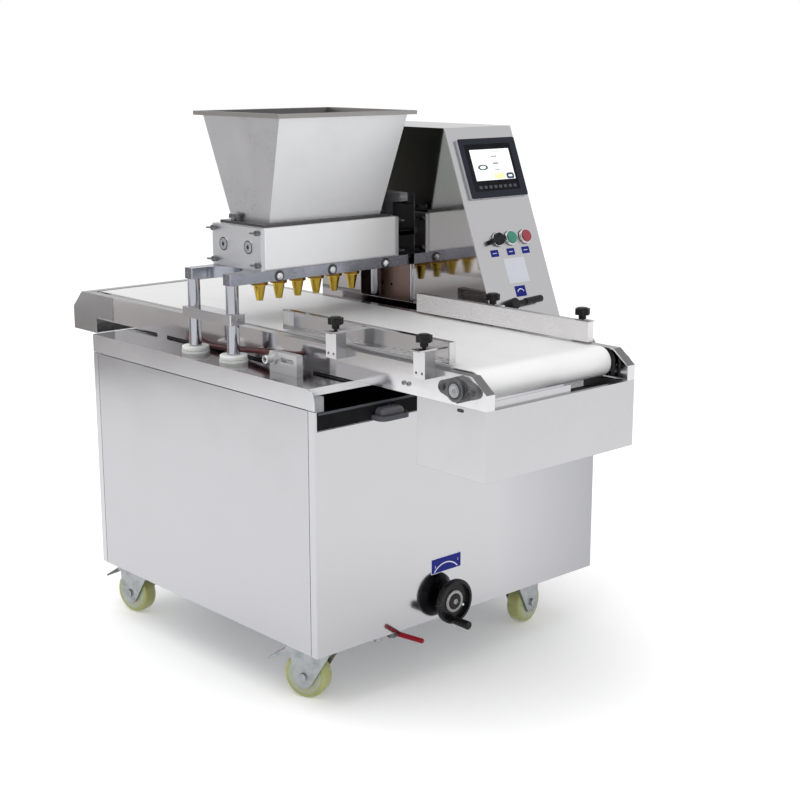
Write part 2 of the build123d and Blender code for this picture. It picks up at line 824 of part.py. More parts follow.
def flange_bearing(face_y, out):
    """Return an oval two-bolt bearing; out is -1 or 1 along Y."""
    half = bearing_bolt_pitch / 2
    outline = [
        (drive_x - half, roller_axis_z - bearing_ear),
        (drive_x, roller_axis_z - bearing_boss),
        (drive_x + half, roller_axis_z - bearing_ear),
        (drive_x + half, roller_axis_z + bearing_ear),
        (drive_x, roller_axis_z + bearing_boss),
        (drive_x - half, roller_axis_z + bearing_ear),
    ]
    flange_y = tuple(sorted((face_y, face_y + out * bearing_flange)))
    bearing = prism_y(outline, flange_y)
    for x in (drive_x - half, drive_x + half):
        bearing += rod_y(x, roller_axis_z, bearing_ear, flange_y)
        bolt_y = ordered(face_y + out * bearing_flange, face_y + out * (bearing_flange + bearing_bolt_head))
        bearing += rod_y(x, roller_axis_z, bearing_ear / 2, bolt_y)
    boss_y = tuple(sorted((face_y, face_y + out * (bearing_depth - bearing_shaft_end))))
    bearing += rod_y(drive_x, roller_axis_z, bearing_boss - bearing_boss_step, boss_y)
    through = tuple(sorted((face_y - out, face_y + out * (bearing_depth + 1))))
    return bearing - rod_y(drive_x, roller_axis_z, roller_shaft + running_fit, through)


def flange_bearings():
    """Return the drive roller's flange bearings and the tail roller's channel bearings."""
    pieces = [flange_bearing(conv_y[0], -1), flange_bearing(conv_y[1], 1)]
    for ys in ((web_y[0], conv_in_y[0]), (conv_in_y[1], web_y[1])):
        carrier = box(span(tail_x, tail_block), ys, span(roller_axis_z, tail_block))
        bore_y = (ys[0] - 1, ys[1] + 1)
        pieces.append(carrier - rod_y(tail_x, roller_axis_z, roller_shaft + running_fit, bore_y))
    return group(*pieces)


def rear_guard():
    """Return the sheet guard round the tail end."""
    rear = -half_length
    top = channel_top
    bevel = (rear + guard_bevel_x, top - guard_bevel_z)
    outline = [
        (rear, guard_floor),
        (rear + guard_step_x, guard_floor),
        (rear + guard_step_x, guard_step_z),
        (rear + guard_length, guard_step_z),
        (rear + guard_length, top),
        (bevel[0], top),
        (rear, bevel[1]),
    ]
    across = (conv_y[0] - sheet, conv_y[1] + sheet)
    guard = prism_y(outline, (across[0], conv_y[0])) + prism_y(outline, (conv_y[1], across[1]))
    guard += box((rear, rear + sheet), across, (guard_floor, bevel[1]))
    guard += box((rear, rear + guard_step_x), across, (guard_floor, guard_floor + sheet))
    slope = [(rear, bevel[1]), (bevel[0], top), (bevel[0], top - sheet), (rear + sheet, bevel[1] - sheet)]
    guard += prism_y(slope, across)
    return guard + box((bevel[0], rear + guard_cap), across, (top - sheet, top))


def discharge_skirt():
    """Return the three-sided skirt under the discharge end."""
    xs = (half_length - skirt_length, half_length)
    zs = (skirt_floor, channel_low)
    skirt = box(xs, conv_y, zs)
    hollow_y = (conv_y[0] + sheet, conv_y[1] - sheet)
    skirt -= box((xs[0] - 1, xs[1] - sheet), hollow_y, (zs[0] - 1, zs[1] + 1))
    skirt += box((xs[1] - skirt_lip, xs[1]), hollow_y, (zs[1] - sheet, zs[1]))
    scraper_x = (xs[1] - skirt_lip, xs[1] - skirt_lip + sheet)
    scraper_y = (conv_in_y[0] + seam, conv_in_y[0] + seam + scraper_length)
    return skirt + box(scraper_x, scraper_y, (zs[1], zs[1] + scraper_rise))


def belt_motor():
    """Return the belt gear motor on its plate, with its sprocket and chain."""
    axis_z = roller_axis_z - motor_drop
    front = half_length - sheet
    plate_far = chain_y - chain_width - motor_plate_gap
    plate_y = (plate_far - motor_plate_thick, plate_far)
    motor = box((drive_x - motor_radius, front), plate_y, (axis_z - motor_radius, channel_low - sheet))
    motor += rod_y(drive_x, axis_z, motor_radius, (plate_y[0] - motor_length, plate_y[0]))
    motor += rod_y(drive_x, axis_z, roller_shaft, (plate_y[1], chain_y + sprocket_width))
    motor += rod_y(drive_x, axis_z, sprocket_radius, span(chain_y, sprocket_width))
    a, b = (drive_x, axis_z), (drive_x, roller_axis_z)
    inner_radius = sprocket_radius + slide_gap
    chain = loop(inner_radius + chain_thick, span(chain_y, chain_width), a, b)
    chain -= loop(inner_radius, span(chain_y, chain_width + 2), a, b)
    return group(motor, chain)


def guide_side(side):
    """Return a side's rail face Y, outward sign, channel face Y and stud Y."""
    out = -1 if side == "near" else 1
    face = conv_y[0] if side == "near" else conv_y[1]
    return conveyor_y + out * guide_half_gap, out, face, face + out * guide_block_depth / 2


def ordered(a, b):
    """Return two values as (low, high)."""
    return (min(a, b), max(a, b))


def guide_rail(side):
    """Return a tray guide channel with slotted tabs over its blocks."""
    rail_y, out, face, stud_y = guide_side(side)
    xs = span(guide_mid_x[side], guide_length)
    web = ordered(rail_y, rail_y + out * sheet)
    flange = ordered(rail_y, rail_y + out * guide_flange)
    rail = box(xs, web, (guide_low, guide_high))
    rail += box(xs, flange, (guide_low, guide_low + sheet))
    rail += box(xs, flange, (guide_high - sheet, guide_high))
    for end in ((xs[0], xs[0] + sheet), (xs[1] - sheet, xs[1])):
        rail += box(end, flange, (guide_low, guide_high))
    slots = int((guide_length - guide_slot_pitch) // guide_slot_pitch)
    for i in range(slots):
        x = guide_mid_x[side] + (i - (slots - 1) / 2) * guide_slot_pitch
        slot_y = rail_y + out * guide_flange / 2
        rail -= box(
            span(x, guide_slot_length), span(slot_y, guide_slot_width), span(guide_low, 3 * sheet)
        )
    tab_end = stud_y + out * (guide_travel + stud_radius * 3)
    tab_z = (guide_block_high, guide_block_high + guide_tab_thick)
    for x in guide_block_x:
        rail += box(span(x, guide_tab_width), ordered(rail_y + out * sheet, tab_end), tab_z)
        slot_y = span(stud_y, 2 * (guide_travel + stud_radius + slide_gap))
        rail -= box(
            span(x, 2 * (stud_radius + slide_gap)), slot_y, (tab_z[0] - 1, tab_z[1] + 1)
        )
    return rail


def guide_blocks():
    """Return the four clamp blocks on the channels."""
    pieces = []
    for side in ("near", "far"):
        rail_y, out, face, stud_y = guide_side(side)
        front = face + out * guide_block_depth
        for x in guide_block_x:
            zs = (guide_block_low, guide_block_high - slide_gap)
            piece = box(span(x, guide_block_length), ordered(face, front), zs)
            for screw_x in span(x, guide_screw_pitch):
                screw_y = ordered(front - out * stud_radius, front + out)
                piece -= rod_y(screw_x, zs[0] + guide_screw_rise, guide_screw_radius, screw_y)
            hole_z = (zs[1] - stud_depth - 1, zs[1] + 1)
            pieces.append(piece - rod_z(x, stud_y, stud_radius + running_fit, hole_z))
    return group(*pieces)


def guide_knob(side, x):
    """Return one star knob with its stud."""
    stud_y = guide_side(side)[3]
    low = guide_block_high + guide_tab_thick + slide_gap + knob_lift
    head_z = (low + knob_neck, low + knob_height)
    knob = rod_z(x, stud_y, knob_neck_radius, (low, head_z[0]))
    knob += rod_z(x, stud_y, knob_radius - knob_lobe / 2, head_z)
    for i in range(6):
        turn = radians(60 * i)
        reach = knob_radius - knob_lobe
        spot = (x + reach * cos(turn), stud_y + reach * sin(turn))
        knob += rod_z(spot[0], spot[1], knob_lobe, head_z)
    cap = rod_z(x, stud_y, knob_radius - knob_lobe, (head_z[1], head_z[1] + sheet))
    knob += fillet(cap.edges().filter_by(GeomType.CIRCLE).sort_by(Axis.Z)[-1], sheet / 2)
    stud_low = guide_block_high - slide_gap - stud_depth
    return knob + rod_z(x, stud_y, stud_radius, (stud_low, low))


def lead_points():
    """Return the route of the sensor lead: out of the sensor, behind the posts, into the channel."""
    rear_y = bracket_y + bracket_thick + sensor_nut_thick + sheet
    return [
        (sensor_x, rear_y, table_height + sensor_rise),
        (164.0, -338.0, 721.0),
        (153.0, -330.0, 720.0),
        (130.0, -328.0, 719.0),
        (90.0, -328.0, 716.5),
        (38.0, -328.0, 712.0),
        (-16.0, -328.0, 706.5),
        (-70.0, -328.0, 702.0),
        (-118.0, -328.5, 700.0),
        (-158.0, -331.0, 700.5),
        (-186.0, -337.0, 703.5),
        (-206.0, -335.0, 708.0),
        (-214.0, -326.5, 712.0),
        (-214.0, web_y[0], 712.0),
    ]


def lead_bends(points):
    """Return each bend's radius on a route, as large as its two runs allow."""
    radii = []
    for before, here, after in zip(points, points[1:], points[2:]):
        run_in = Vector(here) - Vector(before)
        run_out = Vector(after) - Vector(here)
        turn = radians(run_in.get_angle(run_out))
        radii.append(lead_slack * min(run_in.length, run_out.length) / tan(turn / 2))
    return radii


def tray_sensor():
    """Return the sensor bracket, threaded sensor, lock nuts and grommet."""
    z = table_height + sensor_rise
    ys = (bracket_y, bracket_y + bracket_thick)
    xs = (sensor_x - sensor_nut, sensor_x - sensor_nut + bracket_length)
    bracket = box(xs, ys, (table_height, table_height + bracket_height))
    bracket = fillet(bracket.edges().filter_by(Axis.Y).sort_by(Axis.Z)[-2:], sensor_radius / 2)
    through = (ys[0] - 1, ys[1] + 1)
    bracket -= rod_y(sensor_x, z, sensor_radius, through)
    slot_x = (sensor_x + 2 * sensor_nut, xs[1] - sensor_nut)
    slot_r = sensor_radius / 2
    bracket -= loop(slot_r, through, (slot_x[0], z), (slot_x[1], z))
    points = lead_points()
    tube_end = points[0][1]
    sensor = rod_y(sensor_x, z, sensor_radius, (tube_end - sensor_length, tube_end))
    rims = sensor.edges().filter_by(GeomType.CIRCLE).sort_by(Axis.Y)
    sensor = chamfer(rims[0], sheet / 2)
    nut = Rot(90, 0, 0) * extrude(RegularPolygon(sensor_nut, 6), sensor_nut_thick)
    nuts = Pos(sensor_x, ys[0], z) * nut
    nuts += Pos(sensor_x, ys[1] + sensor_nut_thick, z) * nut
    sensor += nuts
    end = points[-1]
    ring_y = (conv_y[0] - sheet, conv_y[0])
    ring = rod_y(end[0], end[2], grommet_radius, ring_y)
    ring -= rod_y(end[0], end[2], lead_radius + lead_fit, (ring_y[0] - 1, ring_y[1] + 1))
    return group(bracket, sensor, ring)


def sensor_lead():
    """Return the sensor's lead from its rear end to the channel grommet."""
    points = lead_points()
    lead_path = FilletPolyline(*points, radius=lead_bends(points))
    profile = Plane(origin=points[0], z_dir=(0, 1, 0)) * Circle(lead_radius)
    return sweep(profile, path=lead_path)


def head_posts():
    """Return the four lifting posts between yoke and head base."""
    zs = (yoke_low + yoke_thick, base_low)
    return group(*(rod_z(x, y, post_radius, zs) for x in post_x for y in (post_near_y, post_far_y)))


def post_collar(x, y, radius):
    """Return one stepped guide collar standing on the table."""
    foot_top = table_height + collar_foot
    groove_top = foot_top + collar_groove
    top = table_height + collar_height
    collar = rod_z(x, y, radius, (table_height, foot_top))
    collar += rod_z(x, y, radius - 2 * collar_groove, (foot_top, groove_top))
    upper = rod_z(x, y, radius - collar_groove / 2, (groove_top, top))
    collar += fillet(upper.edges().filter_by(GeomType.CIRCLE).sort_by(Axis.Z)[-1], collar_groove)
    bore = rod_z(x, y, post_radius + running_fit, (table_height - 1, top + 1))
    return collar - bore


def post_collars():
    """Return all four post collars."""
    pieces = [post_collar(x, post_near_y, collar_radius) for x in post_x]
    pieces += [post_collar(x, post_far_y, collar_far_radius) for x in post_x]
    return group(*pieces)


def post_tie_bars():
    """Return the tie bar clamped round the near posts."""
    zs = (tie_low, tie_low + tie_height)
    tie = box(span(head_x, tie_length), span(post_near_y, tie_depth), zs)
    tie = chamfer(tie.edges().filter_by(Axis.Z), sheet)
    for x in post_x:
        tie -= rod_z(x, post_near_y, post_radius, (zs[0] - 1, zs[1] + 1))
    return tie


def head_base():
    """Return the nozzle plate with two arms and a scooped near end."""
    xs = span(head_x, base_width)
    zs = (base_low, base_top)
    base = box(xs, (base_near_y, base_far_y), zs)
    scoop_r = base_width / 2 - arm_width
    cut_z = (zs[0] - 1, zs[1] + 1)
    centre_y = base_near_y + arm_scoop
    base -= rod_z(head_x, centre_y, scoop_r, cut_z)
    base -= box(span(head_x, 2 * scoop_r), (base_near_y - 1, centre_y), cut_z)
    base = chamfer(base.edges().filter_by(Axis.Z).sort_by(Axis.Y)[:4], sheet)
    for y in nozzle_y:
        base -= rod_z(head_x, y, nozzle_feed, cut_z)
    return base


def nozzle():
    """Return one nozzle hanging from z = 0."""
    cone_top = -nozzle_nut_height
    nut = extrude(RegularPolygon(nozzle_nut_radius, 6), cone_top)
    cone = Pos(0, 0, (cone_top - nozzle_drop) / 2) * Cone(
        nozzle_cone_tip, nozzle_cone_top, nozzle_drop + cone_top, rotation=(0, 0, 0)
    )
    body = nut + cone
    body -= Pos(0, 0, -nozzle_nut_height / 2) * Cylinder(nozzle_feed, nozzle_nut_height)
    return body - Pos(0, 0, -nozzle_drop / 2) * Cylinder(nozzle_bore, nozzle_drop + 2)


def nozzles():
    """Return the row of brass nozzles."""
    return group(*(Pos(head_x, y, base_low) * nozzle() for y in nozzle_y))


def feed_block():
    """Return the roller housing with plinth, throat and outlets."""
    plinth_top = base_top + plinth_height
    plinth_x = span(head_x, block_width - 2 * plinth_inset)
    body = box(span(head_x, block_width), block_y, (plinth_top, block_top))
    body = fillet(body.edges().filter_by(Axis.Z), sheet)
    body += box(plinth_x, block_y, (base_top, plinth_top))
    bore = feed_roller_radius + feed_roller_gap
    chamber_y = span(head_y, feed_length + 2 * feed_roller_gap)
    for x in roller_x:
        body -= rod_y(x, roller_z, bore, chamber_y)
        body -= rod_y(x, roller_z, feed_shaft + 1, (block_y[0] - 1, block_y[1] + 1))
    throat_y = span(head_y, hopper_foot_y - 2 * hopper_sheet)
    body -= box(span(head_x, throat_width), throat_y, (roller_z, block_top + 1))
    outlet_low = base_top + plinth_height * 2
    body -= box(span(head_x, outlet_width), throat_y, (outlet_low, roller_z))
    for y in nozzle_y:
        body -= rod_z(head_x, y, nozzle_feed, (base_top - 1, outlet_low + 1))
    return body


def end_plates():
    """Return both end plates with their bearing caps."""
    pieces = []
    for ys, out in (((end_plate_y[0], block_y[0]), -1), ((block_y[1], end_plate_y[1]), 1)):
        plate = box(span(head_x, block_width - sheet), ys, (base_top, block_top))
        plate = fillet(plate.edges().filter_by(Axis.Y).sort_by(Axis.Z)[-2:], sheet * 2)
        face = ys[0] if out < 0 else ys[1]
        for x in roller_x:
            plate += rod_y(x, roller_z, cap_radius, ordered(face, face + out * cap_depth))
            if out < 0:
                bore_y = (face - cap_depth + cap_wall, ys[1] + 1)
            else:
                bore_y = (ys[0] - 1, face + cap_depth + 1)
            plate -= rod_y(x, roller_z, feed_shaft + running_fit, bore_y)
        pieces.append(plate)
    return group(*pieces)


def feed_roller(x):
    """Return one fluted feed roller with its shaft and coupling."""
    ys = span(head_y, feed_length)
    roller = rod_y(x, roller_z, feed_roller_radius, ys)
    for i in range(flute_count):
        turn = radians(360 / flute_count * (i + 0.5))
        flute_x = x + feed_roller_radius * cos(turn)
        flute_z = roller_z + feed_roller_radius * sin(turn)
        roller -= rod_y(flute_x, flute_z, flute_radius, (ys[0] - 1, ys[1] + 1))
    near_end = end_plate_y[0] - cap_depth + cap_wall + slide_gap
    roller += rod_y(x, roller_z, feed_shaft, (near_end, gearbox_near_y + shaft_entry - slide_gap))
    coupling_y = end_plate_y[1] + cap_depth + coupling_gap
    return roller + rod_y(x, roller_z, coupling_radius, (coupling_y, coupling_y + coupling_length))


def wing_nut():
    """Return a wing nut standing along +Z from z = 0."""
    hub = Pos(0, 0, wing_hub_height / 2) * Cylinder(wing_hub, wing_hub_height)
    for side in (-1, 1):
        wing = Pos(side * wing_reach / 2, 0, wing_hub_height / 2 + wing_rise / 2) * Box(
            wing_reach, wing_thick, wing_rise
        )
        edges = wing.edges().filter_by(Axis.Y).sort_by(Axis.Z)[-2:]
        hub += fillet(edges, wing_rise / 3)
    return hub


def head_fasteners():
    """Return the head's wing nuts and the dome nuts on the arms."""
    pieces = []
    side = block_width / 2 - wing_edge
    heights = (base_top + wing_edge + wing_thick, block_top - wing_edge)
    for x in (head_x - side, head_x + side):
        for z in heights:
            pieces.append(Pos(x, end_plate_y[0], z) * Rot(90, 0, 0) * wing_nut())
            pieces.append(Pos(x, end_plate_y[1], z) * Rot(-90, 0, 0) * wing_nut())
    flange_top = block_top + hopper_flange_thick
    foot_y = (hopper_foot_y + hopper_flange_y) / 4
    for x, y in ((head_x - hopper_foot_x / 3, head_y - foot_y), (head_x + hopper_foot_x / 3, head_y + foot_y)):
        pieces.append(Pos(x, y, flange_top) * wing_nut())
    face = base_width / 2
    for y in dome_y:
        for out in (-1, 1):
            dome = Sphere(dome_radius) & Pos(0, 0, dome_radius) * Box(4 * dome_radius, 4 * dome_radius, 2 * dome_radius)
            pieces.append(Pos(head_x + out * face, y, base_low + dome_rise) * Rot(0, out * 90, 0) * dome)
    return group(*pieces)


def frustum(low_size, top_size, zs):
    """Return a four-sided taper over the head between two rectangles."""
    low = Pos(head_x, head_y, zs[0]) * Rectangle(*low_size)
    top = Pos(head_x, head_y, zs[1]) * Rectangle(*top_size)
    return loft([low, top])


def hopper():
    """Return the tapered hopper with its rim and bottom flange."""
    low = block_top + hopper_flange_thick
    mouth_x = hopper_rim_x - 2 * hopper_rim_width
    mouth_y = hopper_rim_y - 2 * hopper_rim_width
    zs = (low, hopper_top)
    thick = 2 * hopper_sheet
    body = frustum((hopper_foot_x, hopper_foot_y), (mouth_x, mouth_y), zs)
    rim_z = (hopper_top - hopper_rim_height, hopper_top)
    body += box(span(head_x, hopper_rim_x), span(head_y, hopper_rim_y), rim_z)
    flange_z = (block_top, low)
    body += box(span(head_x, hopper_flange_x), span(head_y, hopper_flange_y), flange_z)
    inner_foot = (hopper_foot_x - thick, hopper_foot_y - thick)
    body -= frustum(inner_foot, (mouth_x - thick, mouth_y - thick), zs)
    well_z = (block_top - 1, low)
    return body - box(span(head_x, inner_foot[0]), span(head_y, inner_foot[1]), well_z)


def feed_motor():
    """Return the feed gearbox with its motor on top."""
    ys = (gearbox_near_y, gearbox_near_y + gearbox_depth)
    top = base_top + gearbox_height
    gearbox = box(span(head_x, gearbox_width), ys, (base_top, top))
    gearbox = chamfer(gearbox.edges().filter_by(Axis.Z), sheet * 2)
    for x in roller_x:
        gearbox -= rod_y(x, roller_z, feed_shaft + running_fit, (ys[0] - 1, ys[0] + shaft_entry))
    return gearbox + rod_z(head_x, (ys[0] + ys[1]) / 2, feed_motor_radius, (top, top + feed_motor_height))


def lift_yoke():
    """Return the yoke under the posts with its translating screw."""
    zs = (yoke_low, yoke_low + yoke_thick)
    margin = yoke_beam / 2
    ys = (post_near_y - margin, post_far_y + margin)
    xs = (post_x[0] - margin, post_x[1] + margin)
    yoke = box(xs, span(post_near_y, yoke_beam), zs) + box(xs, span(post_far_y, yoke_beam), zs)
    for x in post_x:
        yoke += box(span(x, yoke_beam), ys, zs)
    yoke += box(xs, span(handwheel_y, 2 * yoke_beam), zs)
    return yoke + rod_z(head_x, handwheel_y, screw_radius, (pan_top + screw_end, yoke_low))


def lift_jack():
    """Return the worm-gear screw jack on the cabinet pan."""
    zs = (pan_top, pan_top + jack_height)
    jack = box(span(head_x, jack_width), span(handwheel_y, jack_depth), zs)
    jack = chamfer(jack.edges().filter_by(Axis.Z), sheet * 3)
    side = head_x + jack_width / 2
    jack += rod_x(handwheel_y, handwheel_z, jack_boss, (side, side + jack_boss_length))
    jack -= rod_z(head_x, handwheel_y, screw_radius + running_fit, (zs[0] + pan_thick, zs[1] + 1))
    shaft_x = (jack_shaft_end() - slide_gap, side + jack_boss_length + 1)
    return jack - rod_x(handwheel_y, handwheel_z, handwheel_shaft + running_fit, shaft_x)


def jack_shaft_end():
    """Return the inner end of the handwheel shaft."""
    return head_x + screw_radius + jack_boss


def grip_spot():
    """Return the (y, z) place of the handwheel grip."""
    turn = radians(grip_angle)
    return (handwheel_y + grip_offset * cos(turn), handwheel_z + grip_offset * sin(turn))


def handwheel():
    """Return the dished handwheel with its shaft and grip spindle."""
    back = cab_x[1] + handwheel_gap
    front = back + handwheel_thick
    edge = front - handwheel_edge
    wheel = rod_x(handwheel_y, handwheel_z, handwheel_radius, (edge, front))
    taper = Cone(handwheel_back, handwheel_radius, edge - back)
    wheel += Pos((back + edge) / 2, handwheel_y, handwheel_z) * Rot(0, 90, 0) * taper
    wheel = fillet(wheel.edges().filter_by(GeomType.CIRCLE), sheet * 2)
    recess = handwheel_radius - handwheel_rim
    wheel -= rod_x(handwheel_y, handwheel_z, recess, (front - handwheel_recess, front + 1))
    hub_x = (cab_x[1] + slide_gap, front - handwheel_recess / 2)
    wheel += rod_x(handwheel_y, handwheel_z, handwheel_hub, hub_x)
    wheel += rod_x(handwheel_y, handwheel_z, handwheel_shaft, (jack_shaft_end(), back))
    y, z = grip_spot()
    wheel += rod_x(y, z, grip_radius, (front - handwheel_recess - 1, front))
    return wheel + rod_x(y, z, grip_spindle, (front, front + grip_span - grip_radius))


def handwheel_grip():
    """Return the revolving grip on its spindle."""
    y, z = grip_spot()
    low = cab_x[1] + handwheel_gap + handwheel_thick + slide_gap
    grip = Pos(low + grip_span / 2, y, z) * Rot(0, 90, 0) * Cone(grip_end_radius, grip_radius, grip_span)
    grip = fillet(grip.edges().filter_by(GeomType.CIRCLE), sheet)
    bore_end = low + grip_span - grip_radius + 1
    return grip - rod_x(y, z, grip_spindle + running_fit, (low - 1, bore_end))


def housing_outline():
    """Return the side outline of the control housing."""
    return [
        (wall_x[0], table_height),
        (wall_x[1], table_height),
        (brow_x, housing_top),
        (wall_x[0], housing_top),
    ]


def on_console(y, down, out=0.0):
    """Return the place on the console front at a width Y and a distance down."""
    return console_plane.location * Pos(y - wall_y, -down, out)


def console_housing():
    """Return the control housing shell, open below and towards the wall."""
    slant = sheet * slope_length / slope_drop
    lean = slope_run / slope_drop
    inner = [
        (wall_x[0] + sheet, table_height - 1),
        (wall_x[1] - slant + lean, table_height - 1),
        (brow_x - slant + lean * sheet, housing_top - sheet),
        (wall_x[0] + sheet, housing_top - sheet),
    ]
    ys = (wall_y + sheet, housing_far_y)
    shell = prism_y(housing_outline(), ys) - prism_y(inner, (wall_y, housing_far_y - sheet))
    for i in range(vent_count):
        vent_z = span(housing_top - 2 * vent_length + i * vent_pitch, vent_width)
        shell -= box((wall_x[0] - 1, wall_x[0] + sheet + 1), span(sum(ys) / 2, vent_length), vent_z)
    cut = 4 * sheet
    body_size = (screen_width - 2 * screen_body_inset, screen_height - 2 * screen_body_inset)
    shell -= on_console(screen_y, screen_v) * Box(*body_size, cut)
    for y in (selector_y, start_y, stop_y):
        shell -= on_console(y, control_v) * Cylinder(stem_radius + slide_gap, cut)
    return shell - on_console(lever_y, lever_v) * Cylinder(lever_pin + running_fit, cut)


def housing_wall():
    """Return the wall beside the belt, its window for the head arms and the shield behind."""
    ys = (wall_y, wall_y + sheet)
    wall = prism_y(housing_outline(), ys)
    window = box(span(head_x, window_width), (ys[0] - 1, ys[1] + 1), (window_low, window_high))
    wall -= fillet(window.edges().filter_by(Axis.Y), sheet * 3)
    return group(wall, splash_shield())


def splash_shield():
    """Return the folded shield that stands on the table behind the far posts."""
    near_y = post_far_y + collar_far_radius + shield_gap
    xs = span(head_x, shield_width)
    shield = box(xs, (near_y, near_y + sheet), (table_height, base_low - 2 * shield_gap))
    shield += box(xs, (near_y, near_y + shield_foot), (table_height, table_height + sheet))
    for offset in shield_hole_offset:
        hole_y = (near_y - 1, near_y + sheet + 1)
        shield -= rod_y(head_x + offset, table_height + shield_hole_rise, shield_hole_radius, hole_y)
    return shield


def touch_panel():
    """Return the operator panel: bezel on the front and body behind it."""
    bezel = on_console(screen_y, screen_v, screen_proud / 2) * Box(
        screen_width, screen_height, screen_proud
    )
    axis = console_plane.z_dir
    bezel = fillet(bezel.edges().filter_by(Axis((0, 0, 0), axis)), sheet * 2)
    body_size = (screen_width - 2 * screen_body_inset, screen_height - 2 * screen_body_inset)
    return bezel + on_console(screen_y, screen_v, -screen_body_depth / 2) * Box(
        *body_size, screen_body_depth
    )


def stem(y):
    """Return a control's stem through the console sheet."""
    length = stem_depth + cap_button_gap
    return on_console(y, control_v, cap_button_gap - length / 2) * Cylinder(stem_radius, length)


def push_button(y):
    """Return a push button with its stem."""
    cap = Pos(0, 0, cap_button_thick / 2) * Cylinder(cap_button_radius, cap_button_thick)
    cap = fillet(cap.edges().filter_by(GeomType.CIRCLE).sort_by(Axis.Z)[-1], sheet)
    return stem(y) + on_console(y, control_v, cap_button_gap) * cap


def selector_knob():
    """Return the selector switch knob with its long pointer."""
    knob = Pos(0, 0, selector_thick / 2) * Cylinder(selector_radius, selector_thick)
    arm = Pos(selector_arm / 2 - selector_radius, 0, selector_thick) * Box(
        selector_arm, selector_arm_width, selector_thick
    )
    arm = fillet(arm.edges().filter_by(Axis.Z), selector_arm_width / 3)
    head = on_console(selector_y, control_v, slide_gap) * Rot(0, 0, selector_turn) * (knob + arm)
    depth = stem_depth + slide_gap
    return head + on_console(selector_y, control_v, slide_gap - depth / 2) * Cylinder(stem_radius, depth)


def console_lever():
    """Return the clamping lever low on the console front."""
    hub = Pos(0, 0, lever_hub_height / 2) * Cylinder(lever_hub, lever_hub_height)
    hub = fillet(hub.edges().filter_by(GeomType.CIRCLE).sort_by(Axis.Z)[-1], sheet)
    level = lever_hub_height / 2
    arm = Pos(lever_arm_length / 2, 0, level) * Rot(0, 90, 0) * Cylinder(lever_arm_radius, lever_arm_length)
    grip_mid = lever_arm_length - lever_grip_length / 2
    grip = Pos(grip_mid, 0, level) * Rot(0, 90, 0) * Cylinder(lever_grip_radius, lever_grip_length)
    grip = fillet(grip.edges().filter_by(GeomType.CIRCLE), sheet)
    pin_length = lever_pin_depth + slide_gap
    pin = Pos(0, 0, -pin_length / 2) * Cylinder(lever_pin, pin_length)
    return on_console(lever_y, lever_v, slide_gap) * Rot(0, 0, lever_tilt) * (hub + arm + grip + pin)


def all_nodes():
    """Return every node's name and shape."""
    nodes = {
        "cabinet_frame": cabinet_frame(),
        "side_panel_near": side_panel("near"),
        "side_panel_far": side_panel("far"),
        "front_panel": front_panel(),
        "rear_panel": rear_panel(),
        "table_top": table_top(),
        "drawer": drawer(),
        "drain_lever": drain_lever(),
        "conveyor_plate_near": conveyor_plate("near"),
        "conveyor_plate_far": conveyor_plate("far"),
        "belt_bed": belt_bed(),
        "conveyor_belt": conveyor_belt(),
        "drive_roller": drive_roller(),
        "tail_roller": belt_roller(tail_x, (web_y[0] + slide_gap, web_y[1] - slide_gap)),
        "flange_bearings": flange_bearings(),
        "rear_guard": rear_guard(),
        "discharge_skirt": discharge_skirt(),
        "belt_motor": belt_motor(),
        "guide_rail_near": guide_rail("near"),
        "guide_rail_far": guide_rail("far"),
        "guide_blocks": guide_blocks(),
        "tray_sensor": tray_sensor(),
        "sensor_lead": sensor_lead(),
        "head_posts": head_posts(),
        "post_collars": post_collars(),
        "post_tie_bars": post_tie_bars(),
        "head_base": head_base(),
        "nozzles": nozzles(),
        "feed_block": feed_block(),
        "end_plates": end_plates(),
        "feed_roller_rear": feed_roller(roller_x[0]),
        "feed_roller_front": feed_roller(roller_x[1]),
        "head_fasteners": head_fasteners(),
        "hopper": hopper(),
        "feed_motor": feed_motor(),
        "lift_yoke": lift_yoke(),
        "lift_jack": lift_jack(),
        "handwheel": handwheel(),
        "handwheel_grip": handwheel_grip(),
        "console_housing": console_housing(),
        "housing_wall": housing_wall(),
        "touch_panel": touch_panel(),
        "selector_knob": selector_knob(),
        "start_button": push_button(start_y),
        "stop_button": push_button(stop_y),
        "console_lever": console_lever(),
    }
    wheel, pedal = castor_wheel(), castor_pedal()
    for name, (x, y, turn) in castor_places().items():
        place = Pos(x, y, 0) * Rot(0, 0, turn)
        braked = name.startswith("near")
        nodes[f"castor_fork_{name}"] = place * castor_fork(braked)
        nodes[f"castor_wheel_{name}"] = place * wheel
        if braked:
            nodes[f"castor_pedal_{name}"] = place * pedal
    for side in ("near", "far"):
        for end, x in zip(("rear", "front"), guide_block_x):
            nodes[f"guide_knob_{side}_{end}"] = guide_knob(side, x)
    return nodes


if __name__ == "__main__":
    os.makedirs("parts", exist_ok=True)
    for node, shape in all_nodes().items():
        export_step(shape, f"parts/{node}.step")
    print(f"slope {degrees(atan2(slope_drop, slope_run)):.3f} degrees")
    route = lead_points()
    print("lead radii", [round(radius, 1) for radius in lead_bends(route)])
    lead_line = FilletPolyline(*route, radius=lead_bends(route)).length
    lead_share = sensor_lead().volume / (pi * lead_radius**2 * lead_line)
    print(f"lead length {lead_line:.1f}, volume over section times length {lead_share:.4f}")
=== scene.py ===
"""Looks of a cookie depositing machine on castors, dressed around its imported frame.

The scene is in metres, +Z up, +X towards the discharge end, +Y towards the console side.
Sizes and places in this file are in millimetres; the factor MM and seat() turn them into metres.
"""

import json
import logging
import math
from dataclasses import dataclass
from enum import Enum
from typing import NamedTuple, Sequence

import bmesh
import bpy
from mathutils import Matrix, Vector


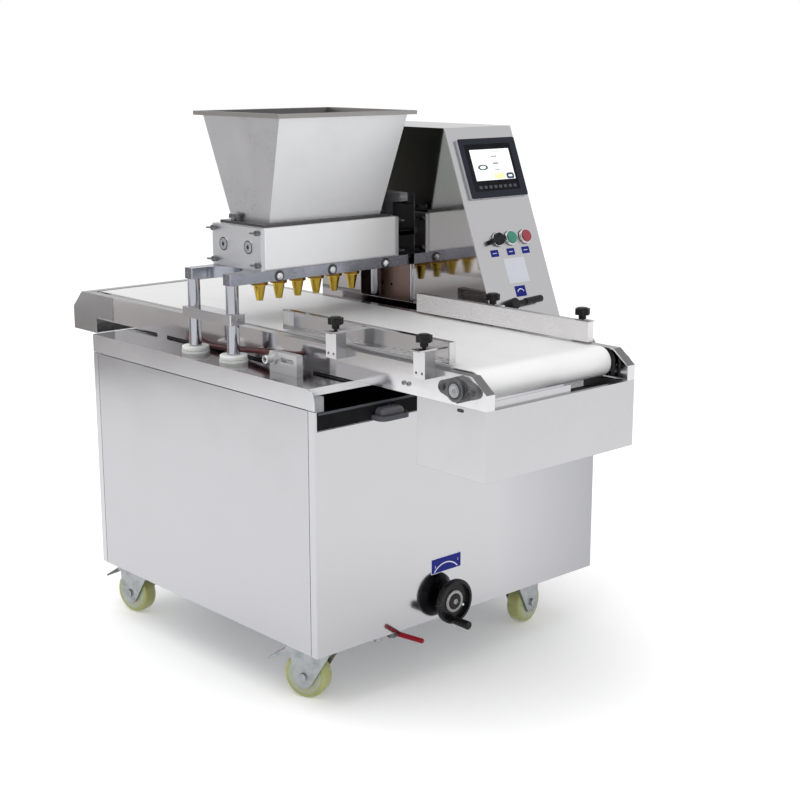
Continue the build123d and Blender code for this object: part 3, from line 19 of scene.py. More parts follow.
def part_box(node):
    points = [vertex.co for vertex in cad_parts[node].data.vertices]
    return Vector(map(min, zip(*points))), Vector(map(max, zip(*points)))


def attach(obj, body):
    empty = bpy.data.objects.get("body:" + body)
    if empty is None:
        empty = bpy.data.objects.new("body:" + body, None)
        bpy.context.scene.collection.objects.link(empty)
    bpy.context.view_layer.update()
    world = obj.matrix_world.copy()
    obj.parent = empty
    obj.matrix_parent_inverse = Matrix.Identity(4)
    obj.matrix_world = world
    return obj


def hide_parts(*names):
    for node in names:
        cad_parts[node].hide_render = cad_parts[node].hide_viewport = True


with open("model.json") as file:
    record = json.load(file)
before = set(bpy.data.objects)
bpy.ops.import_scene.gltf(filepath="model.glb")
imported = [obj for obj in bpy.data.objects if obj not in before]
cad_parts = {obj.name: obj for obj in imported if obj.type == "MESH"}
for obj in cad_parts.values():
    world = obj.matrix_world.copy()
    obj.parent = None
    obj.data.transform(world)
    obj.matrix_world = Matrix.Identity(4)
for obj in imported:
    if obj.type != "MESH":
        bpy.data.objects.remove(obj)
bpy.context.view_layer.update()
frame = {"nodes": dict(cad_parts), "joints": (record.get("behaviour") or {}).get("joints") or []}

MM = 0.001
SMOOTH_ANGLE = math.radians(35)
HEXAGON = 6
SCREW_STEPS = 36

Colour = tuple[float, float, float]
Point = tuple[float, float, float]
Flat = tuple[float, float]
Profile = Sequence[tuple[float, ...]]
Socket = bpy.types.NodeSocket
log = logging.getLogger("cookie_machine")

FRONT: Point = (1.0, 0.0, 0.0)
REAR: Point = (-1.0, 0.0, 0.0)
FAR: Point = (0.0, 1.0, 0.0)
NEAR: Point = (0.0, -1.0, 0.0)
UP: Point = (0.0, 0.0, 1.0)
DOWN: Point = (0.0, 0.0, -1.0)


class Body(Enum):
    """The moving bodies that trim pieces ride on."""

    MACHINE = "machine"
    HEAD = "head"
    DRAWER = "drawer"
    HANDWHEEL = "handwheel"
    DRIVE_ROLLER = "drive_roller"


class Slot(Enum):
    """The record's material slots, named with each new piece."""

    ZINC = "zinc"
    ALUMINIUM = "aluminium"
    PLAIN_STEEL = "plain_steel"
    CAST_GREY = "cast_grey"
    WHITE_NYLON = "white_nylon"
    BLACK_PLASTIC = "black_plastic"
    BLACK_DRAWER = "black_drawer"
    PANEL_GREY = "panel_grey"


class Grain(Enum):
    """Direction of the brushing lines, as noise scale per metre along each axis."""

    ALONG_X = (5.0, 420.0, 420.0)
    ALONG_Y = (420.0, 5.0, 420.0)
    ALONG_Z = (420.0, 420.0, 5.0)
    TURNED = (160.0, 160.0, 700.0)
    EVEN = (380.0, 380.0, 380.0)


class Graph:
    """A node tree with short calls for adding and joining nodes."""

    def __init__(self, tree: bpy.types.NodeTree) -> None:
        """Keep the tree and empty it."""
        self.tree = tree
        tree.nodes.clear()

    def add(self, kind: str, inputs: dict | None = None, **settings: object) -> bpy.types.Node:
        """Add a node.

        Args:
            kind: Blender's name of the node type.
            inputs: Socket names or numbers with the value or the socket that feeds each.
            settings: The node's own properties.

        Returns:
            The new node.
        """
        node = self.tree.nodes.new(kind)
        for key, value in settings.items():
            setattr(node, key, value)
        for key, value in (inputs or {}).items():
            if isinstance(value, Socket):
                self.tree.links.new(value, node.inputs[key])
            else:
                node.inputs[key].default_value = value
        return node

    def feed(self, node: bpy.types.Node, **sockets: Socket) -> None:
        """Join sockets to a node's inputs by name."""
        for name, socket in sockets.items():
            self.tree.links.new(socket, node.inputs[name])

    def place(self, group: bpy.types.NodeTree, **inputs: object) -> bpy.types.Node:
        """Return a new node of a shared group with its own values."""
        return self.add("ShaderNodeGroup", inputs, node_tree=group)

    def sum(self, operation: str, *values: object) -> Socket:
        """Return the result of an operation on numbers."""
        return self.add("ShaderNodeMath", dict(enumerate(values)), operation=operation).outputs[0]

    def vector(self, operation: str, *values: object) -> Socket:
        """Return the result of an operation on vectors, a number for a dot product or a length."""
        node = self.add("ShaderNodeVectorMath", dict(enumerate(values)), operation=operation)
        return node.outputs["Value" if operation in ("DOT_PRODUCT", "LENGTH") else "Vector"]

    def noise(self, place: Socket, scale: object, detail: float, **more: float) -> Socket:
        """Return the value of a noise texture read at a place."""
        inputs = {"Vector": place, "Scale": scale, "Detail": detail, **more}
        return self.add("ShaderNodeTexNoise", inputs).outputs[0]

    def span(self, value: Socket, low: float, high: float, to_low: float = 0.0,
             to_high: float = 1.0) -> Socket:
        """Return a value mapped from one range to another and held at its ends."""
        inputs = {0: value, 1: low, 2: high, 3: to_low, 4: to_high}
        return self.add("ShaderNodeMapRange", inputs).outputs[0]

    def between(self, share: object, first: object, second: object) -> Socket:
        """Return a mix of two numbers by the share of the second."""
        inputs = {0: share, 2: first, 3: second}
        return self.add("ShaderNodeMix", inputs, data_type="FLOAT").outputs[0]

    def blend(self, share: object, first: object, second: object) -> Socket:
        """Mix two colours.

        Args:
            share: Share of the second colour.
            first: A colour or its socket.
            second: A colour or its socket.

        Returns:
            The mixed colour's socket.
        """
        colours = [(*c, 1.0) if isinstance(c, tuple) else c for c in (first, second)]
        inputs = {0: share, 6: colours[0], 7: colours[1]}
        return self.add("ShaderNodeMix", inputs, data_type="RGBA").outputs[2]


class Effects:
    """Shader node groups that several finishes share, each built once."""

    def __init__(self) -> None:
        """Build every group."""
        self.rounded_edges = self._rounded_edges()
        self.brushed_grain = self._brushed_grain()
        self.handling_marks = self._handling_marks()
        self.settled_dust = self._settled_dust()
        self.moulded_grain = self._moulded_grain()
        self.belt_fabric = self._belt_fabric()
        self.past_plane = self._past_plane()
        self.round_axis = self._round_axis()
        self.facing = self._facing()

    @staticmethod
    def _start(name: str, inputs: dict, *outputs: str) -> tuple[Graph, Sequence[Socket], bpy.types.Node]:
        """Make an empty group.

        Args:
            name: The group's name.
            inputs: Input names with their first values.
            outputs: Output names; Normal is a vector, and the others are numbers.

        Returns:
            The group's graph, its input sockets and its output node.
        """
        tree = bpy.data.node_groups.new(name, "ShaderNodeTree")
        kinds = {True: "NodeSocketVector", False: "NodeSocketFloat"}
        for label, value in inputs.items():
            kind = kinds[isinstance(value, tuple)]
            tree.interface.new_socket(label, in_out="INPUT", socket_type=kind).default_value = value
        for label in outputs:
            tree.interface.new_socket(label, in_out="OUTPUT", socket_type=kinds[label == "Normal"])
        graph = Graph(tree)
        return graph, graph.add("NodeGroupInput").outputs, graph.add("NodeGroupOutput")

    @staticmethod
    def _coords(graph: Graph) -> Socket:
        """Return the place on the object, which moves with it."""
        return graph.add("ShaderNodeTexCoord").outputs["Object"]

    def _rounded_edges(self) -> bpy.types.NodeTree:
        """Round sharp edges and find where they are rubbed.

        Returns:
            The group, with a normal and a mask of the edges.
        """
        graph, given, result = self._start(
            "rounded_edges", {"Radius": 0.8 * MM, "Breakup": 70.0}, "Normal", "Edge")
        bevel = graph.add("ShaderNodeBevel", {"Radius": given["Radius"]}, samples=4).outputs[0]
        normal = graph.add("ShaderNodeNewGeometry").outputs["Normal"]
        turned = graph.sum("SUBTRACT", 1.0, graph.vector("DOT_PRODUCT", bevel, normal))
        noise = graph.noise(self._coords(graph), given["Breakup"], detail=3.0)
        edge = graph.sum("MULTIPLY", graph.span(turned, 0.01, 0.25), graph.span(noise, 0.3, 0.6))
        graph.feed(result, Normal=bevel, Edge=edge)
        return graph.tree

    def _brushed_grain(self) -> bpy.types.NodeTree:
        """Draw fine parallel brushing lines.

        Returns:
            The group, with the lines' height and their broader streaks.
        """
        graph, given, result = self._start("brushed_grain", {"Stretch": Grain.EVEN.value}, "Height", "Streak")
        stretched = graph.vector("MULTIPLY", self._coords(graph), given["Stretch"])
        fine = graph.noise(stretched, scale=4.0, detail=4.0)
        broad = graph.noise(stretched, scale=0.35, detail=2.0)
        graph.feed(result, Height=fine, Streak=graph.span(graph.between(0.45, fine, broad), 0.3, 0.7))
        return graph.tree

    def _handling_marks(self) -> bpy.types.NodeTree:
        """Scatter wiped and touched patches.

        Returns:
            The group, with a mask of the smudges and a soft cloud.
        """
        graph, given, result = self._start("handling_marks", {"Scale": 5.0}, "Smudge", "Cloud")
        coords = self._coords(graph)
        cloud = graph.noise(coords, given["Scale"], detail=5.0, Roughness=0.62)
        wiped = graph.noise(coords, graph.sum("MULTIPLY", given["Scale"], 3.7), detail=3.0, Distortion=1.4)
        both = graph.sum("MULTIPLY", graph.span(cloud, 0.42, 0.7), wiped)
        graph.feed(result, Smudge=graph.span(both, 0.05, 0.5), Cloud=graph.span(cloud, 0.3, 0.7))
        return graph.tree

    def _settled_dust(self) -> bpy.types.NodeTree:
        """Lay dust on faces turned upwards.

        Returns:
            The group, with a mask of the dust.
        """
        graph, given, result = self._start("settled_dust", {"Amount": 0.3, "Scale": 40.0}, "Dust")
        coords = graph.add("ShaderNodeTexCoord").outputs
        up = graph.add("ShaderNodeSeparateXYZ", {0: coords["Normal"]}).outputs["Z"]
        noise = graph.noise(coords["Object"], given["Scale"], detail=6.0)
        lying = graph.sum("MULTIPLY", graph.span(up, 0.3, 0.95), graph.span(noise, 0.4, 0.72))
        graph.feed(result, Dust=graph.sum("MULTIPLY", lying, given["Amount"]))
        return graph.tree

    def _moulded_grain(self) -> bpy.types.NodeTree:
        """Pebble a surface like moulded plastic or paint.

        Returns:
            The group, with the grain's height.
        """
        graph, given, result = self._start("moulded_grain", {"Scale": 1500.0}, "Height")
        coords = self._coords(graph)
        cells = graph.add("ShaderNodeTexVoronoi", {"Vector": coords, "Scale": given["Scale"]})
        noise = graph.noise(coords, graph.sum("MULTIPLY", given["Scale"], 0.4), detail=2.0)
        graph.feed(result, Height=graph.between(0.5, cells.outputs["Distance"], noise))
        return graph.tree

    def _belt_fabric(self) -> bpy.types.NodeTree:
        """Print a fine fabric on the belt, with one slanted splice.

        Returns:
            The group, with the fabric's height and a mask of the splice.
        """
        graph, given, result = self._start(
            "belt_fabric", {"Pitch": 2.0 * MM, "Splice": 120.0 * MM}, "Height", "Splice")
        axes = graph.add("ShaderNodeSeparateXYZ", {0: self._coords(graph)}).outputs
        turn = graph.sum("DIVIDE", 2 * math.pi, given["Pitch"])
        waves = [graph.sum("SINE", graph.sum("MULTIPLY", axes[i], turn)) for i in range(2)]
        slant = graph.sum("MULTIPLY_ADD", axes["Y"], 0.22, axes["X"])
        away = graph.sum("ABSOLUTE", graph.sum("SUBTRACT", slant, given["Splice"]))
        splice = graph.span(away, 0.4 * MM, 1.4 * MM, to_low=1.0, to_high=0.0)
        graph.feed(result, Height=graph.sum("MULTIPLY", *waves), Splice=splice)
        return graph.tree

    def _past_plane(self) -> bpy.types.NodeTree:
        """Find what lies past a plane.

        Returns:
            The group, with its mask.
        """
        graph, given, result = self._start(
            "past_plane", {"Direction": FRONT, "Distance": 0.0, "Soft": 0.1 * MM}, "Mask")
        along = graph.vector("DOT_PRODUCT", self._coords(graph), given["Direction"])
        past = graph.sum("SUBTRACT", along, given["Distance"])
        graph.feed(result, Mask=graph.span(graph.sum("DIVIDE", past, given["Soft"]), -1.0, 1.0))
        return graph.tree

    def _round_axis(self) -> bpy.types.NodeTree:
        """Find what lies further from an axis than a radius.

        Returns:
            The group, with its mask.
        """
        graph, given, result = self._start(
            "round_axis", {"Middle": (0.0, 0.0, 0.0), "Axis": UP, "Radius": 10.0 * MM}, "Mask")
        offset = graph.vector("SUBTRACT", self._coords(graph), given["Middle"])
        away = graph.vector("LENGTH", graph.vector("CROSS_PRODUCT", offset, given["Axis"]))
        past = graph.sum("SUBTRACT", away, given["Radius"])
        graph.feed(result, Mask=graph.span(past, -0.1 * MM, 0.1 * MM))
        return graph.tree

    def _facing(self) -> bpy.types.NodeTree:
        """Find the faces turned towards a direction.

        Returns:
            The group, with its mask.
        """
        graph, given, result = self._start("facing", {"Direction": UP, "Limit": 0.5}, "Mask")
        normal = graph.add("ShaderNodeTexCoord").outputs["Normal"]
        turned = graph.vector("DOT_PRODUCT", normal, given["Direction"])
        graph.feed(result, Mask=graph.span(graph.sum("SUBTRACT", turned, given["Limit"]), -0.05, 0.05))
        return graph.tree


@dataclass(frozen=True)
class PastPlane:
    """The part of a node that lies past a plane."""

    direction: Point
    distance: float
    soft: float = 0.1

    def mask(self, graph: Graph, effects: Effects) -> Socket:
        """Return the part's mask in a graph."""
        sizes = {"Distance": self.distance * MM, "Soft": self.soft * MM}
        return graph.place(effects.past_plane, Direction=self.direction, **sizes).outputs[0]


@dataclass(frozen=True)
class RoundAxis:
    """The part of a node that lies further from an axis than a radius."""

    middle: Point
    axis: Point
    radius: float

    def mask(self, graph: Graph, effects: Effects) -> Socket:
        """Return the part's mask in a graph."""
        sizes = {"Middle": tuple(Vector(self.middle) * MM), "Radius": self.radius * MM}
        return graph.place(effects.round_axis, Axis=self.axis, **sizes).outputs[0]


@dataclass(frozen=True)
class Facing:
    """The part of a node that faces a direction."""

    direction: Point
    limit: float = 0.5

    def mask(self, graph: Graph, effects: Effects) -> Socket:
        """Return the part's mask in a graph."""
        return graph.place(effects.facing, Direction=self.direction, Limit=self.limit).outputs[0]


@dataclass(frozen=True)
class Patch:
    """A second look on one part of a node."""

    where: PastPlane | RoundAxis | Facing
    colour: Colour
    roughness: float
    metallic: float = 0.0
    soiled: float = 0.65

    @property
    def dull(self) -> Colour:
        """The patch's own colour where it is handled."""
        return tuple(self.soiled * share for share in self.colour)


DUST_COLOUR: Colour = (0.62, 0.6, 0.56)
DUST_ROUGHNESS = 0.8
GRAIN_HEIGHT = 0.4 * MM


@dataclass(frozen=True)
class Finish:
    """A surface finish: colour, gloss, grain, handling and edge wear."""

    name: str
    colour: Colour
    roughness: float
    metallic: float = 1.0
    worn: Colour = (0.86, 0.86, 0.88)
    wear: float = 0.35
    dull: Colour = (0.5, 0.5, 0.52)
    marks: float = 0.1
    mark_scale: float = 5.0
    rough_marks: float = 0.06
    grain: Grain = Grain.EVEN
    grain_rough: float = 0.04
    bump: float = 0.03
    bevel: float = 0.8
    dust: float = 0.0
    coat: float = 0.0
    specular: float = 0.5
    subsurface: float = 0.0
    patches: tuple[Patch, ...] = ()

    def make(self, effects: Effects) -> bpy.types.Material:
        """Build the finish's material.

        Args:
            effects: The shared node groups.

        Returns:
            The material.
        """
        material, graph = node_material(self.name)
        edges = graph.place(effects.rounded_edges, Radius=self.bevel * MM).outputs
        smudge = graph.place(effects.handling_marks, Scale=self.mark_scale).outputs["Smudge"]
        colour, dull, rough, metallic = self._parts(graph, effects)
        colour = graph.blend(graph.sum("MULTIPLY", smudge, self.marks), colour, dull)
        rough = graph.sum("MULTIPLY_ADD", smudge, self.rough_marks, rough)
        height, rough = self._grain(graph, effects, rough)
        colour = graph.blend(graph.sum("MULTIPLY", edges["Edge"], self.wear), colour, self.worn)
        if self.dust:
            dust = graph.place(effects.settled_dust, Amount=self.dust).outputs["Dust"]
            colour = graph.blend(dust, colour, DUST_COLOUR)
            rough = graph.between(dust, rough, DUST_ROUGHNESS)
        bump = graph.add("ShaderNodeBump", {
            "Height": height, "Normal": edges["Normal"], "Strength": self.bump, "Distance": GRAIN_HEIGHT})
        shader = graph.add("ShaderNodeBsdfPrincipled", {
            "Base Color": colour, "Roughness": rough, "Metallic": metallic,
            "Normal": bump.outputs[0], "Coat Weight": self.coat,
            "Specular IOR Level": self.specular, "Subsurface Weight": self.subsurface})
        self._light(shader)
        graph.add("ShaderNodeOutputMaterial", {"Surface": shader.outputs[0]})
        return material

    def _parts(self, graph: Graph, effects: Effects) -> tuple[object, object, object, object]:
        """Return the base look, with each patch's look on its own part.

        Args:
            graph: The material's graph.
            effects: The shared node groups.

        Returns:
            Colour, dull colour, roughness and metallic, each a value or a socket.
        """
        colour, dull, rough, metallic = self.colour, self.dull, self.roughness, self.metallic
        mixed = any(patch.metallic != self.metallic for patch in self.patches)
        for patch in self.patches:
            mask = patch.where.mask(graph, effects)
            colour = graph.blend(mask, colour, patch.colour)
            dull = graph.blend(mask, dull, patch.dull)
            rough = graph.between(mask, rough, patch.roughness)
            if mixed:
                metallic = graph.between(mask, metallic, patch.metallic)
        return colour, dull, rough, metallic

    def _grain(self, graph: Graph, effects: Effects, rough: Socket) -> tuple[Socket, Socket]:
        """Return the grain's height and the roughness with its streaks.

        Args:
            graph: The material's graph.
            effects: The shared node groups.
            rough: The roughness so far.

        Returns:
            The height and the roughness sockets.
        """
        brushed = graph.place(effects.brushed_grain, Stretch=self.grain.value).outputs
        streaks = graph.sum("MULTIPLY_ADD", brushed["Streak"], self.grain_rough, rough)
        return brushed["Height"], streaks

    def _light(self, shader: bpy.types.Node) -> None:
        """Leave the shader unlit."""


@dataclass(frozen=True)
class Moulded(Finish):
    """Moulded plastic or powder paint with a fine pebbled grain."""

    metallic: float = 0.0
    worn: Colour = (0.2, 0.2, 0.21)
    wear: float = 0.25
    dull: Colour = (0.12, 0.12, 0.125)
    grain_scale: float = 1500.0
    bump: float = 0.12

    def _grain(self, graph: Graph, effects: Effects, rough: Socket) -> tuple[Socket, Socket]:
        """Return the pebbled height and the unchanged roughness."""
        return graph.place(effects.moulded_grain, Scale=self.grain_scale).outputs["Height"], rough


@dataclass(frozen=True)
class Label(Moulded):
    """A thin printed plate."""

    grain_scale: float = 2500.0
    bump: float = 0.04
    bevel: float = 0.1


@dataclass(frozen=True)
class Belting(Finish):
    """White belt cover with its fabric print and a slanted splice."""

    metallic: float = 0.0
    pitch: float = 2.0
    splice_x: float = 120.0
    splice_height: float = -2.0
    splice_rough: float = 0.15

    def _grain(self, graph: Graph, effects: Effects, rough: Socket) -> tuple[Socket, Socket]:
        """Return the fabric's height with the splice, and the roughness over the splice.

        Args:
            graph: The material's graph.
            effects: The shared node groups.
            rough: The roughness so far.

        Returns:
            The height and the roughness sockets.
        """
        sizes = {"Pitch": self.pitch * MM, "Splice": self.splice_x * MM}
        fabric = graph.place(effects.belt_fabric, **sizes).outputs
        height = graph.sum("MULTIPLY_ADD", fabric["Splice"], self.splice_height, fabric["Height"])
        return height, graph.sum("MULTIPLY_ADD", fabric["Splice"], self.splice_rough, rough)


@dataclass(frozen=True)
class Lit(Finish):
    """A lit display behind a clear cover."""

    metallic: float = 0.0
    glow: float = 0.1
    specular: float = 0.2
    marks: float = 0.02
    bump: float = 0.0
    wear: float = 0.0

    def _light(self, shader: bpy.types.Node) -> None:
        """Light the display with its own colour."""
        shader.inputs["Emission Color"].default_value = (*self.colour, 1.0)
        shader.inputs["Emission Strength"].default_value = self.glow


STEEL: Colour = (0.57, 0.57, 0.588)
BLACK: Colour = (0.012, 0.012, 0.014)
DEEP_BLACK: Colour = (0.006, 0.006, 0.007)

# Painted shade: the side panels' steel is set darker than the front panel's, for the shade on the sides.
PANEL_SIDE = Finish("side_panel_steel", (0.5, 0.5, 0.518), 0.17, grain=Grain.ALONG_X, bevel=1.2)
# Painted shade: the patch past Y 300 mm darkens the front panel softly towards its far side.
PANEL_FRONT = Finish(
    "front_panel_steel", (0.53, 0.53, 0.547), 0.07, grain=Grain.ALONG_Y, grain_rough=0.03, bevel=1.2,
    patches=(Patch(PastPlane(FAR, 300.0, 200.0), (0.35, 0.35, 0.378), 0.085, 1.0),))
SHEET = Finish("folded_sheet_steel", STEEL, 0.2, grain=Grain.ALONG_Z, bevel=0.9)
GUARD = Finish("rear_guard_steel", (0.36, 0.355, 0.36), 0.22, grain=Grain.ALONG_Z, bevel=0.9)
SKIRT = Finish("discharge_skirt_steel", (0.54, 0.54, 0.555), 0.2, grain=Grain.ALONG_Z, bevel=0.9)
# Painted light and shade on the hopper: the front faces are painted lighter, and the far face, the rim above
# 1203.5 mm, the faces turned up along the flange and everything below 978.5 mm are painted darker as shade.
HOPPER_SHEET = Finish(
    "hopper_sheet_steel", (0.6, 0.605, 0.625), 0.26, grain_rough=0.06, bevel=0.9,
    patches=(
        Patch(Facing(FRONT), (0.79, 0.795, 0.81), 0.46, 0.55),
        Patch(Facing(FAR), (0.2, 0.19, 0.18), 0.3, 1.0),
        Patch(PastPlane(UP, 1203.5), (0.33, 0.32, 0.31), 0.3, 1.0),
        Patch(Facing(UP, 0.12), (0.13, 0.125, 0.125), 0.35, 1.0),
        Patch(PastPlane(DOWN, -978.5), (0.1, 0.095, 0.1), 0.3, 1.0)))
# Painted reflection and highlight: the top faces are painted darker and the front lip is painted light.
MIRROR_TABLE = Finish(
    "mirror_table_steel", (0.62, 0.62, 0.64), 0.2, grain=Grain.ALONG_X, grain_rough=0.03, marks=0.16,
    patches=(Patch(Facing(UP), (0.38, 0.37, 0.385), 0.09, 1.0),
             Patch(Facing(FRONT), (0.88, 0.88, 0.89), 0.3, 0.4)))
# Painted reflections: the patch above 985 mm and the brown patch past Y 180 mm paint the dark surroundings
# that the wall mirrors.
MIRROR_WALL = Finish(
    "mirror_wall_steel", (0.42, 0.4, 0.4), 0.03, grain=Grain.ALONG_Z, grain_rough=0.02, rough_marks=0.04,
    patches=(Patch(PastPlane(UP, 985.0, 80.0), (0.31, 0.32, 0.3), 0.05, 1.0),
             Patch(PastPlane(FAR, 180.0), (0.36, 0.23, 0.19), 0.35, 0.4)))
# Painted shade: the top faces and the chamfered ends of the channels are painted darker.
CHANNEL = Finish(
    "polished_channel_steel", (0.7, 0.695, 0.71), 0.1, grain=Grain.ALONG_X, grain_rough=0.03,
    patches=(Patch(Facing(UP), (0.36, 0.355, 0.36), 0.22, 1.0),
             Patch(Facing((0.75, 0.0, 0.66), 0.93), (0.22, 0.215, 0.22), 0.25, 1.0)))
RAIL = Finish("guide_rail_steel", (0.6, 0.595, 0.6), 0.13, grain=Grain.ALONG_X, bump=0.012)
# Painted light and shade: the far rail is a lighter, less metallic copy of the near rail's steel, and its top
# faces are painted darker.
FAR_RAIL = Finish(
    "far_guide_rail_steel", (0.8, 0.785, 0.79), 0.25, metallic=0.6, grain=Grain.ALONG_X, bump=0.008,
    patches=(Patch(Facing(UP), (0.3, 0.295, 0.3), 0.25, 0.6),))
CHROME = Finish("chromed_post", (0.42, 0.425, 0.465), 0.05, grain=Grain.TURNED, grain_rough=0.03)
BRIGHT = Finish("bright_plated_steel", (0.74, 0.74, 0.75), 0.12, bevel=0.4)
ZINC = Finish(
    "zinc_plated_steel", (0.37, 0.39, 0.395), 0.27, dull=(0.2, 0.215, 0.225), marks=0.5, mark_scale=40.0,
    rough_marks=0.2, dust=0.1)
FEED_BLOCK = Finish(
    "feed_block_aluminium", (0.87, 0.875, 0.885), 0.36, metallic=0.6, dull=(0.7, 0.7, 0.71),
    grain=Grain.ALONG_Y, grain_rough=0.08, bump=0.05, bevel=1.0)
# Painted shade: the faces of the clamp blocks that turn to the front are painted dark.
BLOCK = Finish(
    "clamp_block_aluminium", (0.72, 0.72, 0.73), 0.35, metallic=0.6, dull=(0.55, 0.55, 0.56),
    grain=Grain.ALONG_X, grain_rough=0.06, bump=0.05,
    patches=(Patch(Facing(FRONT), (0.3, 0.3, 0.31), 0.3, 0.6),))
END_PLATE = Finish(
    "end_plate_aluminium", (0.62, 0.63, 0.65), 0.33, grain=Grain.ALONG_X, grain_rough=0.08, bump=0.05,
    bevel=1.0)
# The heavy dark mottle of marks is partly handling smudges and partly painted dark reflections.
ARM_STEEL = Finish(
    "arm_steel", (0.35, 0.365, 0.415), 0.14, grain=Grain.ALONG_Y, grain_rough=0.08, bump=0.06,
    worn=(0.6, 0.61, 0.65), dull=(0.24, 0.25, 0.29), marks=0.6, mark_scale=16.0, rough_marks=0.14)
NUT_ZINC = Finish(
    "nut_zinc", (0.75, 0.75, 0.76), 0.16, dull=(0.4, 0.4, 0.42), marks=0.5, mark_scale=60.0, bevel=0.4,
    patches=(Patch(PastPlane(UP, 884.0), (0.2, 0.2, 0.21), 0.25, 1.0),))
DIAL_GREY = Finish(
    "dial_grey", (0.3, 0.3, 0.305), 0.3, dull=(0.18, 0.18, 0.19), marks=0.4, mark_scale=50.0, bevel=0.4)
FRAME_STEEL = Finish(
    "frame_steel", (0.4, 0.41, 0.43), 0.42, dull=(0.26, 0.26, 0.28), marks=0.5, mark_scale=14.0)
DARK_STEEL = Finish(
    "darkened_steel", (0.1, 0.1, 0.105), 0.35, worn=(0.3, 0.3, 0.31), dull=(0.06, 0.06, 0.065), marks=0.5,
    mark_scale=50.0, bevel=0.4)
SENSOR_BRACKET = Finish(
    "sensor_bracket", (0.62, 0.62, 0.63), 0.3, metallic=0.85, dull=(0.5, 0.5, 0.5), grain=Grain.ALONG_X,
    bevel=0.7, patches=(Patch(PastPlane(REAR, 200.0), (0.02, 0.02, 0.02), 0.6),))
DRAIN_LEVER = Finish(
    "drain_lever", (0.12, 0.12, 0.125), 0.35, wear=0.1, worn=(0.34, 0.1, 0.11), specular=0.2,
    patches=(Patch(RoundAxis((337.0, -199.0, 0.0), UP, 20.0), (0.25, 0.003, 0.014), 0.35),))
# Painted shade: the nozzles are painted dark brown above 837 mm, under the head base.
BRASS = Finish(
    "turned_brass", (0.7, 0.49, 0.075), 0.18, worn=(0.9, 0.76, 0.36), dull=(0.5, 0.28, 0.05), marks=0.5,
    mark_scale=60.0, rough_marks=0.15, grain=Grain.TURNED, bevel=0.5,
    patches=(Patch(PastPlane(UP, 837.0), (0.3, 0.16, 0.035), 0.3, 1.0),))
CAST = Finish(
    "painted_casting", (0.13, 0.13, 0.132), 0.5, metallic=0.3, worn=(0.3, 0.3, 0.31),
    dull=(0.08, 0.08, 0.08), marks=0.5, mark_scale=30.0, bump=0.35, bevel=1.6)
BEARING = Finish(
    "bearing_casting", (0.15, 0.15, 0.155), 0.38, metallic=0.7, worn=(0.5, 0.5, 0.51),
    dull=(0.07, 0.07, 0.07), marks=0.7, mark_scale=45.0, bump=0.35, bevel=1.6)
NYLON = Moulded(
    "white_nylon", (0.8, 0.8, 0.78), 0.42, worn=(0.9, 0.9, 0.89), dull=(0.62, 0.62, 0.6), marks=0.3,
    mark_scale=25.0, grain_scale=900.0, subsurface=0.15, bevel=1.0)
# Painted light: the belt is painted lighter past X 662 mm, round the front roll, out of the head's shade.
BELT = Belting(
    "belt_cover", (0.77, 0.77, 0.775), 0.42, worn=(0.66, 0.66, 0.66), wear=0.2, dull=(0.64, 0.64, 0.635),
    marks=0.25, mark_scale=7.0, bump=0.05, bevel=0.6,
    patches=(Patch(PastPlane(FRONT, 662.0, 22.0), (0.93, 0.93, 0.93), 0.42, soiled=0.9),))
BLACK_KNOB = Moulded("black_knob", DEEP_BLACK, 0.38, marks=0.12, mark_scale=30.0, specular=0.2)
BLACK_WHEEL = Moulded(
    "black_handwheel", DEEP_BLACK, 0.24, marks=0.12, mark_scale=25.0, specular=0.2, bevel=1.2)
GRIP_GREY = Moulded(
    "drawer_grip_grey", (0.13, 0.13, 0.15), 0.25, worn=(0.3, 0.3, 0.32), dull=(0.08, 0.08, 0.09),
    marks=0.3, mark_scale=40.0, bump=0.05, coat=0.2, bevel=1.0)
MOTOR = Moulded(
    "motor_paint", (0.2, 0.23, 0.26), 0.45, worn=(0.45, 0.45, 0.46), dull=(0.14, 0.15, 0.16), marks=0.35,
    grain_scale=700.0, bump=0.2)
DARK_MOTOR = Moulded(
    "dark_motor_paint", (0.035, 0.034, 0.034), 0.45, marks=0.35, grain_scale=700.0, bump=0.2, specular=0.3)
RUBBER = Moulded("black_rubber", (0.02, 0.02, 0.02), 0.62, marks=0.3)
LEAD = Moulded(
    "lead_jacket", (0.11, 0.022, 0.022), 0.38, worn=(0.2, 0.06, 0.05), dull=(0.06, 0.016, 0.016),
    marks=0.5, mark_scale=60.0, bevel=0.4)
GREEN = Moulded(
    "green_cap", (0.015, 0.22, 0.14), 0.22, worn=(0.1, 0.4, 0.28), dull=(0.012, 0.15, 0.09), coat=0.4)
RED = Moulded(
    "red_cap", (0.3, 0.012, 0.028), 0.22, worn=(0.55, 0.1, 0.12), dull=(0.18, 0.01, 0.02), coat=0.4)
BEZEL_INK = Moulded("bezel_inner", (0.004, 0.004, 0.007), 0.3, specular=0.08, marks=0.1, bevel=0.4)
LABEL_NAVY = Label(
    "navy_label", (0.008, 0.014, 0.21), 0.4, specular=0.15, worn=(0.08, 0.08, 0.3), dull=(0.01, 0.012, 0.1))
LABEL_WHITE = Label(
    "label_white", (0.72, 0.74, 0.86), 0.35, worn=(0.7, 0.7, 0.74), dull=(0.6, 0.6, 0.66))
LABEL_PALE = Label(
    "pale_notice", (0.62, 0.64, 0.7), 0.4, worn=(0.7, 0.7, 0.72), dull=(0.52, 0.53, 0.58), bump=0.05)
KEY_GREY = Moulded("key_grey", (0.07, 0.075, 0.085), 0.4, specular=0.15, marks=0.1, bevel=0.1)
SCREEN = Lit("lit_screen", (0.86, 0.9, 0.9), 0.2, glow=0.34)
